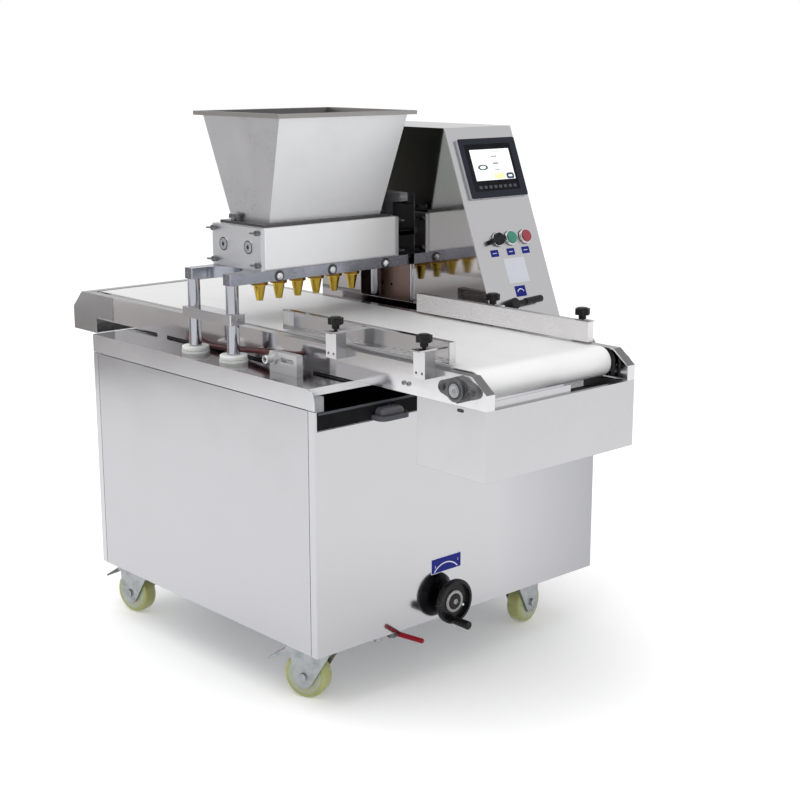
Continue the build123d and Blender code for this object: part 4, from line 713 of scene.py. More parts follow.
MARK_TEAL = Lit("screen_teal", (0.05, 0.12, 0.11), 0.3)
MARK_GREY = Lit("screen_grey", (0.36, 0.41, 0.4), 0.3)
MARK_YELLOW = Lit("screen_yellow", (0.82, 0.85, 0.42), 0.3, glow=0.3)
MARK_BLUE = Lit("screen_blue", (0.03, 0.06, 0.12), 0.3)
LENS = Moulded("sensor_lens", (0.015, 0.006, 0.008), 0.06, coat=1.0, bump=0.0, bevel=0.2)


class Finishes:
    """Every finish of the machine, each made once when it is first asked for."""

    def __init__(self) -> None:
        """Build the shared effects and start with no materials made."""
        self.effects = Effects()
        self.made: dict[str, bpy.types.Material] = {}

    def get(self, finish: Finish) -> bpy.types.Material:
        """Return a finish's material.

        Args:
            finish: The finish to make, or made before under the same name.

        Returns:
            Its material.
        """
        if finish.name not in self.made:
            self.made[finish.name] = finish.make(self.effects)
        return self.made[finish.name]


class Ring(NamedTuple):
    """One ring of a turned shape; with sides it is a polygon of that many corners."""

    radius: float
    height: float
    sides: int = 0

    def points(self, steps: int) -> list[Point]:
        """Return the ring's points, or the one point of a ring with no radius.

        Args:
            steps: Points on the ring.

        Returns:
            The points, anticlockwise.
        """
        if not self.radius:
            return [(0.0, 0.0, self.height)]
        points = []
        for i in range(steps):
            turn = 2 * math.pi * i / steps
            radius = self.radius
            if self.sides:
                half = math.pi / self.sides
                radius *= math.cos(half) / math.cos(turn % (2 * half) - half)
            points.append((radius * math.cos(turn), radius * math.sin(turn), self.height))
        return points


class Plate(NamedTuple):
    """A flat plate with round corners and an eased front edge."""

    width: float
    height: float
    corner: float
    thick: float
    ease: float = 0.0
    steps: int = 6


class Arc(NamedTuple):
    """A flat curved band, from one angle in degrees to another."""

    radius: float
    width: float
    start: float
    end: float
    thick: float
    middle: Flat = (0.0, 0.0)
    steps: int = 20


class Screw(NamedTuple):
    """A cap screw's head; its chamfer and key are shares of the radius, its socket of the height."""

    radius: float
    height: float
    chamfer: float = 0.12
    key: float = 0.52
    socket: float = 0.35
    socket_point: float = 0.3


def node_material(name: str) -> tuple[bpy.types.Material, Graph]:
    """Make a material.

    Args:
        name: Its name.

    Returns:
        The material and the graph of its emptied nodes.
    """
    material = bpy.data.materials.new(name)
    material.use_nodes = True
    return material, Graph(material.node_tree)


def put_in_scene(name: str, data: bpy.types.ID) -> bpy.types.Object:
    """Put data into the scene.

    Args:
        name: The new object's name.
        data: Its mesh, curve, light or camera.

    Returns:
        The object.
    """
    made = bpy.data.objects.new(name, data)
    bpy.context.scene.collection.objects.link(made)
    return made


def mesh_object(name: str, mesh: bmesh.types.BMesh, material: bpy.types.Material) -> bpy.types.Object:
    """Put a mesh into the scene.

    Args:
        name: The new object's name.
        mesh: Its mesh, which is used up.
        material: Its material.

    Returns:
        The object.
    """
    data = bpy.data.meshes.new(name)
    mesh.to_mesh(data)
    mesh.free()
    data.materials.append(material)
    return put_in_scene(name, data)


def box(name: str) -> tuple[Vector, Vector]:
    """Return the lowest and the highest corner of a CAD node."""
    low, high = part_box(name)
    return low / MM, high / MM


def seat(origin: Sequence[float], normal: Sequence[float], up: Sequence[float] = UP) -> Matrix:
    """Return a place on a face.

    Args:
        origin: The place.
        normal: Direction out of the face, which becomes local Z.
        up: Direction on the face that becomes local Y.

    Returns:
        The matrix from local millimetres to the scene's metres.
    """
    z = Vector(normal).normalized()
    y = (Vector(up) - z * z.dot(Vector(up))).normalized()
    turn = Matrix((y.cross(z), y, z)).transposed().to_4x4()
    return Matrix.Translation(Vector(origin) * MM) @ turn @ Matrix.Scale(MM, 4)


def turn_shape(mesh: bmesh.types.BMesh, profile: Profile, where: Matrix, steps: int = 48) -> None:
    """Add a closed turned shape: a section that goes round, or a flat base with a point at the end.

    Args:
        mesh: The mesh to add to.
        profile: Each ring's values in order along the surface, the last with no radius for a point.
        where: The shape's place.
        steps: Points on each ring.
    """
    loops = []
    for ring in profile:
        loops.append([mesh.verts.new(where @ Vector(spot)) for spot in Ring(*ring).points(steps)])
    pairs = list(zip(loops, loops[1:]))
    if len(loops[-1]) > 1:
        pairs.append((loops[-1], loops[0]))
    else:
        mesh.faces.new(list(reversed(loops[0])))
    for a, b in pairs:
        for i in range(steps):
            j = (i + 1) % steps
            corners = [a[i % len(a)], a[j % len(a)], b[j % len(b)], b[i % len(b)]]
            unique = list(dict.fromkeys(corners))
            if len(unique) > 2:
                mesh.faces.new(unique)


def socket_screw(mesh: bmesh.types.BMesh, screw: Screw, where: Matrix) -> None:
    """Add a cap screw with a hexagon socket.

    Args:
        mesh: The mesh to add to.
        screw: The screw's sizes.
        where: The screw's seat.
    """
    radius, height = screw.radius, screw.height
    chamfer, key = screw.chamfer * radius, screw.key * radius
    turn_shape(mesh, (
        (radius, 0.0), (radius, height - chamfer), (radius - chamfer, height), (key, height, HEXAGON),
        (key, screw.socket * height, HEXAGON), (0.0, screw.socket_point * height)), where, SCREW_STEPS)


def rounded(width: float, height: float, radius: float, steps: int = 6) -> list[Flat]:
    """Return a rectangle's outline with round corners.

    Args:
        width: Size along local X.
        height: Size along local Y.
        radius: Corner radius.
        steps: Points on each corner, less one.

    Returns:
        The corners, anticlockwise.
    """
    points = []
    for quarter in range(4):
        side = math.pi / 4 + quarter * math.pi / 2
        x = math.copysign(width / 2 - radius, math.cos(side))
        y = math.copysign(height / 2 - radius, math.sin(side))
        for i in range(steps + 1):
            turn = math.pi / 2 * (quarter + i / steps)
            points.append((x + radius * math.cos(turn), y + radius * math.sin(turn)))
    return points


def stack(mesh: bmesh.types.BMesh, layers: Sequence[Sequence[Point]], where: Matrix) -> None:
    """Add a closed shape through outlines that have as many points each.

    Args:
        mesh: The mesh to add to.
        layers: The outlines from the back to the front, anticlockwise.
        where: The shape's place.
    """
    loops = [[mesh.verts.new(where @ Vector(spot)) for spot in layer] for layer in layers]
    for a, b in zip(loops, loops[1:]):
        for i in range(len(a)):
            j = (i + 1) % len(a)
            mesh.faces.new((a[i], a[j], b[j], b[i]))
    mesh.faces.new(loops[-1])
    mesh.faces.new(list(reversed(loops[0])))


def slab(mesh: bmesh.types.BMesh, plate: Plate, where: Matrix, middle: Flat = (0.0, 0.0),
         low: float = 0.0) -> None:
    """Add a flat plate.

    Args:
        mesh: The mesh to add to.
        plate: The plate's sizes.
        where: The face that it lies on.
        middle: The plate's middle on the face.
        low: Height of the plate's back over the face.
    """
    outline = rounded(plate.width, plate.height, plate.corner, plate.steps)
    shrink = 1.0 - plate.ease / max(math.hypot(*spot) for spot in outline)
    top = low + plate.thick
    layers = []
    for scale, height in ((1.0, low), (1.0, top - plate.ease), (shrink, top)):
        layers.append([(middle[0] + x * scale, middle[1] + y * scale, height) for x, y in outline])
    stack(mesh, layers, where)


def band(mesh: bmesh.types.BMesh, arc: Arc, where: Matrix, low: float) -> None:
    """Add a curved band as a strip of quads with its edges closed.

    Args:
        mesh: The mesh to add to.
        arc: The band's sizes.
        where: The face that it lies on.
        low: Height of the band's back over the face.
    """
    turns = [math.radians(arc.start + (arc.end - arc.start) * i / arc.steps) for i in range(arc.steps + 1)]
    outline = []
    for radius, run in ((arc.radius + arc.width / 2, turns), (arc.radius - arc.width / 2, turns[::-1])):
        outline += [(arc.middle[0] + radius * math.cos(t), arc.middle[1] + radius * math.sin(t)) for t in run]
    heights = (low, low + arc.thick)
    layers = [[mesh.verts.new(where @ Vector((*spot, z))) for spot in outline] for z in heights]
    for i in range(arc.steps):
        k = len(outline) - 1 - i
        for layer, forward in zip(layers, (False, True)):
            face = [layer[i], layer[i + 1], layer[k - 1], layer[k]]
            mesh.faces.new(face if forward else list(reversed(face)))
    for i in range(len(outline)):
        j = (i + 1) % len(outline)
        mesh.faces.new((layers[0][i], layers[0][j], layers[1][j], layers[1][i]))


@dataclass
class PhotoCamera:
    """The camera at the photograph's viewing angle."""

    position: Point = (2540.0, -2181.0, 1322.0)
    yaw: float = 47.69
    pitch: float = 13.06
    focal_pixels: float = 1466.0
    frame_pixels: float = 800.0
    sensor: float = 36.0

    def build(self) -> None:
        """Make the camera and use it."""
        data = bpy.data.cameras.new("photo_camera")
        data.sensor_width = self.sensor
        data.lens = self.focal_pixels / self.frame_pixels * self.sensor
        camera = put_in_scene("photo_camera", data)
        yaw, pitch = math.radians(self.yaw), math.radians(self.pitch)
        level = math.cos(pitch)
        forward = Vector((-math.sin(yaw) * level, math.cos(yaw) * level, -math.sin(pitch)))
        camera.location = Vector(self.position) * MM
        camera.rotation_mode = "QUATERNION"
        camera.rotation_quaternion = forward.to_track_quat("-Z", "Y")
        bpy.context.scene.camera = camera


class Card(NamedTuple):
    """An upright card that only mirror surfaces see."""

    name: str
    place: Point
    size: Flat
    colour: Colour


@dataclass
class Studio:
    """Pale floor, white surroundings, a soft light and the darker cards that polished steel mirrors."""

    effects: Effects
    surround: float = 0.85
    floor_size: float = 60000.0
    floor_tones: tuple[Colour, Colour] = ((0.91, 0.91, 0.91), (0.93, 0.93, 0.93))
    floor_cloud: float = 0.8
    floor_specular: float = 0.1
    matt: float = 0.9
    floor_glow: float = 0.3
    shade_glow: float = 0.14
    glow_reach: Flat = (320.0, 760.0)
    key_power: float = 50.0
    key_place: Point = (-400.0, -1200.0, 4200.0)
    key_aim: Point = (0.0, 0.0, 600.0)
    key_size: Flat = (3600.0, 3000.0)
    card_corner: float = 50.0
    card_thick: float = 20.0
    cards: tuple[Card, ...] = (
        Card("wall_card", (-2320.0, -1970.0, 800.0), (500.0, 1000.0), (0.09, 0.055, 0.048)),
        Card("low_card", (-1965.0, -1925.0, 280.0), (2600.0, 300.0), (0.4, 0.38, 0.37)))

    def build(self) -> None:
        """Make the stage."""
        self._surround()
        self._floor()
        self._key()
        for card in self.cards:
            self._card(card)

    def _surround(self) -> None:
        """Make the white surroundings, plain white behind the object."""
        scene = bpy.context.scene
        scene.view_settings.view_transform = "Standard"
        scene.world = bpy.data.worlds.new("studio_white")
        scene.world.use_nodes = True
        graph = Graph(scene.world.node_tree)
        seen = graph.add("ShaderNodeLightPath").outputs["Is Camera Ray"]
        strength = graph.between(seen, self.surround, 1.0)
        shade = graph.add("ShaderNodeBackground", {"Color": (1.0, 1.0, 1.0, 1.0), "Strength": strength})
        graph.add("ShaderNodeOutputWorld", {"Surface": shade.outputs[0]})

    def _floor(self) -> None:
        """Make the pale floor, which glows less under the machine as a painted shadow."""
        mesh = bmesh.new()
        bmesh.ops.create_grid(mesh, x_segments=1, y_segments=1, size=self.floor_size * MM / 2)
        material, graph = node_material("pale_floor")
        cloud = graph.place(self.effects.handling_marks, Scale=self.floor_cloud).outputs["Cloud"]
        away = graph.vector("LENGTH", graph.add("ShaderNodeTexCoord").outputs["Object"])
        # The lower glow within glow_reach of the middle is a painted shadow under the machine.
        near, far = (reach * MM for reach in self.glow_reach)
        shader = graph.add("ShaderNodeBsdfPrincipled", {
            "Base Color": graph.blend(cloud, *self.floor_tones), "Roughness": self.matt,
            "Specular IOR Level": self.floor_specular, "Emission Color": (1.0, 1.0, 1.0, 1.0),
            "Emission Strength": graph.span(away, near, far, self.shade_glow, self.floor_glow)})
        graph.add("ShaderNodeOutputMaterial", {"Surface": shader.outputs[0]})
        mesh_object("floor", mesh, material)

    def _key(self) -> None:
        """Make the large soft light overhead."""
        data = bpy.data.lights.new("overhead_softbox", "AREA")
        data.shape = "RECTANGLE"
        data.size, data.size_y = (side * MM for side in self.key_size)
        data.energy = self.key_power
        light = put_in_scene("overhead_softbox", data)
        light.location = Vector(self.key_place) * MM
        aim = Vector(self.key_aim) - Vector(self.key_place)
        light.rotation_mode = "QUATERNION"
        light.rotation_quaternion = aim.to_track_quat("-Z", "Y")

    def _card(self, card: Card) -> None:
        """Make a card that faces the machine's upright axis.

        Args:
            card: The card.
        """
        mesh = bmesh.new()
        x, y, _ = card.place
        slab(mesh, Plate(*card.size, self.card_corner, self.card_thick), seat(card.place, (-x, -y, 0.0)))
        material, graph = node_material(card.name)
        shader = graph.add("ShaderNodeBsdfPrincipled", {
            "Base Color": (*card.colour, 1.0), "Roughness": self.matt})
        graph.add("ShaderNodeOutputMaterial", {"Surface": shader.outputs[0]})
        made = mesh_object(card.name, mesh, material)
        made.visible_camera = made.visible_shadow = made.visible_diffuse = False


@dataclass
class SubAssembly:
    """Pieces of the machine that are dressed and trimmed together."""

    finishes: Finishes

    def dress(self, finish: Finish, *nodes: str) -> None:
        """Give CAD nodes a finish.

        Args:
            finish: The finish.
            nodes: The nodes' names.
        """
        material = self.finishes.get(finish)
        for name in nodes:
            node = frame["nodes"][name]
            if not node.material_slots:
                node.data.materials.append(material)
            for slot in node.material_slots:
                slot.material = material
            log.info("node %s: %s", name, finish.name)

    def trim(self, name: str, mesh: bmesh.types.BMesh, slot: Slot, finish: Finish,
             body: Body = Body.MACHINE) -> None:
        """Turn a mesh into a piece of the machine.

        Args:
            name: The piece's name.
            mesh: Its mesh, which is used up.
            slot: Not used.
            finish: Its own finish.
            body: The body that it rides on.
        """
        bmesh.ops.recalc_face_normals(mesh, faces=mesh.faces)
        made = mesh_object(name, mesh, self.finishes.get(finish))
        made.data.shade_smooth()
        made.data.set_sharp_from_angle(angle=SMOOTH_ANGLE)
        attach(made, body.value)
        log.info("piece %s rides on %s", name, body.value)

    def turned(self, name: str, profile: Profile, where: Matrix, slot: Slot, finish: Finish,
               body: Body = Body.MACHINE, steps: int = 48) -> None:
        """Make a piece of one turned shape.

        Args:
            name: The piece's name.
            profile: The shape's rings.
            where: The shape's place.
            slot: The record's slot, passed on to trim.
            finish: Its own finish.
            body: The body that it rides on.
            steps: Points on each ring.
        """
        mesh = bmesh.new()
        turn_shape(mesh, profile, where, steps)
        self.trim(name, mesh, slot, finish, body)

    def plate(self, name: str, plate: Plate, where: Matrix, slot: Slot, finish: Finish,
              body: Body = Body.MACHINE, middle: Flat = (0.0, 0.0), low: float = 0.0) -> None:
        """Make a piece of one flat plate.

        Args:
            name: The piece's name.
            plate: The plate's sizes.
            where: The face that it lies on.
            slot: The record's slot, passed on to trim.
            finish: Its own finish.
            body: The body that it rides on.
            middle: The plate's middle on the face.
            low: Height of the plate's back over the face.
        """
        mesh = bmesh.new()
        slab(mesh, plate, where, middle, low)
        self.trim(name, mesh, slot, finish, body)


@dataclass
class SensorLead(SubAssembly):
    """The tray sensor with its lens, and its lead behind the posts into the channel."""

    lead_radius: float = 5.0
    tube_length: float = 405.6
    steps_along: int = 12
    steps_round: int = 6
    lens_rim: Profile = ((8.4, -1.5), (8.4, 0.3), (6.5, 0.6), (6.5, -1.0))
    lens: Profile = ((6.4, -1.0), (6.4, -0.2), (3.9, 0.3), (0.0, 0.5))
    route: tuple[Point, ...] = (
        (164.0, -349.0, 721.0),
        (164.0, -338.0, 721.0),
        (153.0, -330.0, 720.0),
        (130.0, -328.0, 719.0),
        (90.0, -328.0, 716.5),
        (38.0, -328.0, 712.0),
        (-16.0, -328.0, 706.5),
        (-70.0, -328.0, 702.0),
        (-118.0, -328.5, 700.0),
        (-158.0, -331.0, 700.5),
        (-186.0, -337.0, 703.5),
        (-206.0, -335.0, 708.0),
        (-214.0, -326.5, 712.0),
        (-214.0, -317.0, 712.0),
    )

    def build_lead(self) -> None:
        """Make the lead along its route."""
        curve = bpy.data.curves.new("sensor_lead_cord", "CURVE")
        curve.dimensions = "3D"
        spline = curve.splines.new("NURBS")
        spline.points.add(len(self.route) - 1)
        for point, spot in zip(spline.points, self.route):
            point.co = (*(Vector(spot) * MM), 1.0)
        spline.order_u = 3
        spline.use_endpoint_u = True
        curve.resolution_u = self.steps_along
        curve.bevel_depth = self.lead_radius * MM
        curve.bevel_resolution = self.steps_round
        curve.use_fill_caps = True
        curve.materials.append(self.finishes.get(LEAD))
        lead = put_in_scene("sensor_lead_cord", curve)
        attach(lead, Body.MACHINE.value)
        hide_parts("sensor_lead")
        log.info("piece %s rides on %s", lead.name, Body.MACHINE.value)

    def build(self) -> None:
        """Dress the sensor and make its lens."""
        self.dress(SENSOR_BRACKET, "tray_sensor")
        self.dress(LEAD, "sensor_lead")
        x, _, z = self.route[0]
        where = seat((x, box("tray_sensor")[0].y, z), NEAR)
        self.turned("sensor_lens_rim", self.lens_rim, where, Slot.ZINC, BRIGHT)
        self.turned("sensor_lens", self.lens, where, Slot.BLACK_PLASTIC, LENS)


@dataclass
class Cabinet(SubAssembly):
    """Cabinet panels, table, drawer, drain lever and the height label."""

    face_gap: float = 0.3
    label_spot: Flat = (-60.5, 251.5)
    label_edge: Plate = Plate(91.0, 35.0, 1.5, 0.4, 0.1)
    label_face: Plate = Plate(88.0, 32.0, 1.0, 0.15, 0.05)
    label_arc: Arc = Arc(46.0, 2.6, 42.0, 140.0, 0.15, (-0.6, -43.5))
    label_bar: Plate = Plate(1.2, 6.0, 0.5, 0.15, 0.03, 3)
    label_bar_spots: tuple[Flat, ...] = ((-33.0, -2.0), (35.0, 2.0))
    rear_screw: Screw = Screw(4.0, 2.2)
    rear_screw_inset: float = 14.0
    grip_spread: float = 256.0
    cup_size: Point = (62.4, 24.0, 24.0)
    cup_corner: float = 11.0
    cup_ease: float = 9.0
    cup_steps: int = 6
    edge_highlight_strip: Plate = Plate(0.0, 5.0, 0.8, 1.2, 0.3)
    edge_gap: float = 1.0

    def build(self) -> None:
        """Dress the cabinet and make its trim."""
        front = box("front_panel")[1].x
        rear = box("table_top")[0].x
        gland = Patch(PastPlane(REAR, self.face_gap - rear), BLACK, 0.4)
        grips = Patch(PastPlane(FRONT, self.face_gap + front), (0.1, 0.1, 0.115), 0.28)
        rear_sheet = Finish("rear_panel_steel", STEEL, 0.18, grain=Grain.ALONG_Z, patches=(gland,))
        self.dress(PANEL_SIDE, "side_panel_near", "side_panel_far")
        self.dress(PANEL_FRONT, "front_panel")
        self.dress(rear_sheet, "rear_panel")
        self.dress(MIRROR_TABLE, "table_top")
        self.dress(FRAME_STEEL, "cabinet_frame")
        self.dress(Moulded("black_drawer", DEEP_BLACK, 0.45, marks=0.1, patches=(grips,), grain_scale=900.0,
                           specular=0.06), "drawer")
        self.dress(DRAIN_LEVER, "drain_lever")
        self._height_label(front)
        self._rear_screws(rear)
        self._drawer_trim(front)

    def _height_label(self, front: float) -> None:
        """Make the navy label with its plain arc over the handwheel.

        Args:
            front: The front panel's face.
        """
        where = seat((front, *self.label_spot), FRONT)
        face = self.label_edge.thick
        self.plate("height_label_edge", self.label_edge, where, Slot.PANEL_GREY, LABEL_WHITE)
        self.plate("height_label", self.label_face, where, Slot.PANEL_GREY, LABEL_NAVY, low=face)
        top = face + self.label_face.thick
        mesh = bmesh.new()
        band(mesh, self.label_arc, where, top)
        for spot in self.label_bar_spots:
            slab(mesh, self.label_bar, where, spot, top)
        self.trim("height_label_arc", mesh, Slot.PANEL_GREY, LABEL_WHITE)

    def _rear_screws(self, rear: float) -> None:
        """Make the screws that hold the rear panel.

        Args:
            rear: The rear panel's face.
        """
        low, high = box("rear_panel")
        inset = self.rear_screw_inset
        mesh = bmesh.new()
        for y in (low.y + inset, (low.y + high.y) / 2, high.y - inset):
            for z in (low.z + inset, high.z - inset):
                socket_screw(mesh, self.rear_screw, seat((rear, y, z), REAR))
        self.trim("rear_panel_screws", mesh, Slot.ZINC, BRIGHT)

    def _drawer_trim(self, front: float) -> None:
        """Make the finger cups in the drawer's grips and the grey strip along its top edge, a painted
        highlight.

        Args:
            front: The front panel's face.
        """
        low, high = box("drawer")
        middle = (low.y + high.y) / 2
        width, height, deep = self.cup_size
        layers = [[(*spot, 0.0) for spot in rounded(width, height, self.cup_corner)]]
        for i in range(self.cup_steps + 1):
            turn = math.pi / 2 * i / self.cup_steps
            inset = self.cup_ease * (1.0 - math.cos(turn))
            depth = deep - self.cup_ease * (1.0 - math.sin(turn))
            outline = rounded(width - 2 * inset, height - 2 * inset, self.cup_corner - inset)
            layers.append([(*spot, depth) for spot in outline])
        mesh = bmesh.new()
        for side in (-0.5, 0.5):
            stack(mesh, layers, seat((front, middle + side * self.grip_spread, low.z + height / 2), FRONT))
        self.trim("drawer_grip_cups", mesh, Slot.BLACK_DRAWER, GRIP_GREY, Body.DRAWER)
        # Painted highlight: a grey strip along the top edge of the black drawer front.
        strip = self.edge_highlight_strip._replace(width=high.y - low.y - 2 * self.edge_gap)
        where = seat((front, middle, high.z - strip.height / 2), FRONT)
        self.plate("drawer_edge_highlight", strip, where, Slot.BLACK_DRAWER, KEY_GREY, Body.DRAWER)


@dataclass
class Castors(SubAssembly):
    """Castor forks, wheels and brake pedals."""

    spots: tuple[str, ...] = ("near_front", "near_rear", "far_front", "far_rear")
    core_radius: float = 40.0

    def build(self) -> None:
        """Dress every castor, the tread apart from its core."""
        self.dress(ZINC, *(f"castor_fork_{spot}" for spot in self.spots), "castor_pedal_near_front")
        self.dress(CAST, "castor_pedal_near_rear")
        axes = {joint["child"]: tuple(joint["axis"]) for joint in frame["joints"]}
        for spot in self.spots:
            name = f"castor_wheel_{spot}"
            low, high = box(name)
            tread = RoundAxis(tuple((low + high) / 2), axes[name], self.core_radius)
            self.dress(Moulded(
                f"wheel_{spot}", (0.4, 0.415, 0.29), 0.3, worn=(0.56, 0.58, 0.42), wear=0.3,
                dull=(0.28, 0.28, 0.17), marks=0.4, mark_scale=30.0, grain_scale=500.0, bump=0.06,
                subsurface=0.3, coat=0.35, dust=0.15, bevel=1.2,
                patches=(Patch(tread, (0.36, 0.38, 0.14), 0.24),)), name)


@dataclass
class Conveyor(SubAssembly):
    """Belt, side channels, rollers, bearings, guards and their screws."""

    screw: Screw = Screw(4.5, 3.0)
    screw_x: tuple[float, ...] = (507.0, 521.0)
    screw_z: float = 717.0
    clip: Plate = Plate(16.0, 6.0, 2.0, 1.2, 0.3)
    clip_x: float = 662.0
    clip_drop: float = 3.0
    strip: Plate = Plate(788.0, 0.0, 0.8, 2.0, 0.2)
    strip_x: float = -58.0
    strip_inset: float = 4.0
    bearing_face: float = 16.0
    seal: Profile = ((17.0, -0.4), (17.0, 0.6), (13.4, 0.2), (13.4, -0.4))
    ring: Profile = ((13.2, -0.4), (13.2, 1.2), (10.4, 1.4), (10.4, -0.4))
    bolt: Screw = Screw(6.0, 1.6)
    bolt_half: float = 38.0
    bolt_face: float = 14.0
    shaft_centre: Profile = ((9.7, 0.0), (9.3, 0.3), (3.4, 0.3), (3.0, 0.05), (0.0, 0.02))
    shaft_steps: int = 32

    def build(self) -> None:
        """Dress the conveyor and make its trim."""
        self.dress(BELT, "conveyor_belt")
        self.dress(CHANNEL, "conveyor_plate_near", "conveyor_plate_far")
        self.dress(GUARD, "rear_guard")
        self.dress(SKIRT, "discharge_skirt")
        self.dress(FRAME_STEEL, "belt_bed", "tail_roller")
        self.dress(BRIGHT, "drive_roller")
        self.dress(BEARING, "flange_bearings")
        self.dress(DARK_MOTOR, "belt_motor")
        near = box("conveyor_plate_near")[0].y
        far = box("conveyor_plate_far")[1].y
        sides = ((near, -1.0), (far, 1.0))
        self._channel_trim(sides)
        self._bearings(sides)

    def _channel_trim(self, sides: Sequence[Flat]) -> None:
        """Make the cross members' screws, the skirt's clip and the dark strips under the channels, which
        paint the shadow gap between them and the table.

        Args:
            sides: The outer face of each channel, and its direction along Y.
        """
        mesh = bmesh.new()
        for y, out in sides:
            for x in self.screw_x:
                socket_screw(mesh, self.screw, seat((x, y, self.screw_z), (0.0, out, 0.0)))
        self.trim("channel_screws", mesh, Slot.ZINC, DIAL_GREY)
        low = box("conveyor_plate_near")[0].z
        where = seat((self.clip_x, sides[0][0], low - self.clip_drop), NEAR)
        self.plate("skirt_clip", self.clip, where, Slot.BLACK_PLASTIC, RUBBER)
        # Painted shadow: dark strips fill the gap between each channel and the table.
        table = box("table_top")[1].z
        strip = self.strip._replace(height=low - table)
        mesh = bmesh.new()
        for y, out in sides:
            spot = (self.strip_x, y - out * self.strip_inset, (low + table) / 2)
            slab(mesh, strip, seat(spot, (0.0, out, 0.0)))
        self.trim("channel_shadow_gap_strips", mesh, Slot.PLAIN_STEEL, DARK_STEEL)

    def _bearings(self, sides: Sequence[Flat]) -> None:
        """Make the bearing inserts, the bolt sockets and the shaft's centre marks.

        Args:
            sides: The outer face of each channel, and its direction along Y.
        """
        low, high = box("drive_roller")
        x = (low.x + high.x) / 2
        z = sum(corner.z for corner in box("conveyor_belt")) / 2
        seals, rings, sockets, centres = (bmesh.new() for _ in range(4))
        for (y, out), end in zip(sides, (low.y, high.y)):
            facing = (0.0, out, 0.0)
            face = seat((x, y + out * self.bearing_face, z), facing)
            turn_shape(seals, self.seal, face)
            turn_shape(rings, self.ring, face)
            for bolt_x in (x - self.bolt_half, x + self.bolt_half):
                socket_screw(sockets, self.bolt, seat((bolt_x, y + out * self.bolt_face, z), facing))
            turn_shape(centres, self.shaft_centre, seat((x, end, z), facing), self.shaft_steps)
        self.trim("bearing_seals", seals, Slot.CAST_GREY, RUBBER)
        self.trim("bearing_rings", rings, Slot.ZINC, ZINC)
        self.trim("bearing_bolt_sockets", sockets, Slot.ZINC, DARK_STEEL)
        self.trim("shaft_centres", centres, Slot.PLAIN_STEEL, FRAME_STEEL, Body.DRIVE_ROLLER)


@dataclass
class TrayGuides(SubAssembly):
    """Tray guide rails, their clamp blocks and star knobs."""

    block_x: tuple[float, ...] = (319.0, 577.0)
    screw: Screw = Screw(2.9, 2.8)
    screw_pitch: float = 16.0
    screw_rise: float = 10.0
    screw_inset: float = 4.0

    def build(self) -> None:
        """Dress the guides and make the block screws."""
        self.dress(RAIL, "guide_rail_near")
        self.dress(FAR_RAIL, "guide_rail_far")
        self.dress(BLOCK, "guide_blocks")
        for side in ("near", "far"):
            self.dress(BLACK_KNOB, f"guide_knob_{side}_rear", f"guide_knob_{side}_front")
        low, high = box("guide_blocks")
        z = low.z + self.screw_rise
        mesh = bmesh.new()
        for y, out in ((low.y, -1.0), (high.y, 1.0)):
            for x in self.block_x:
                for side in (-0.5, 0.5):
                    spot = (x + side * self.screw_pitch, y - out * self.screw_inset, z)
                    socket_screw(mesh, self.screw, seat(spot, (0.0, out, 0.0)))
        self.trim("block_screws", mesh, Slot.ZINC, FRAME_STEEL)


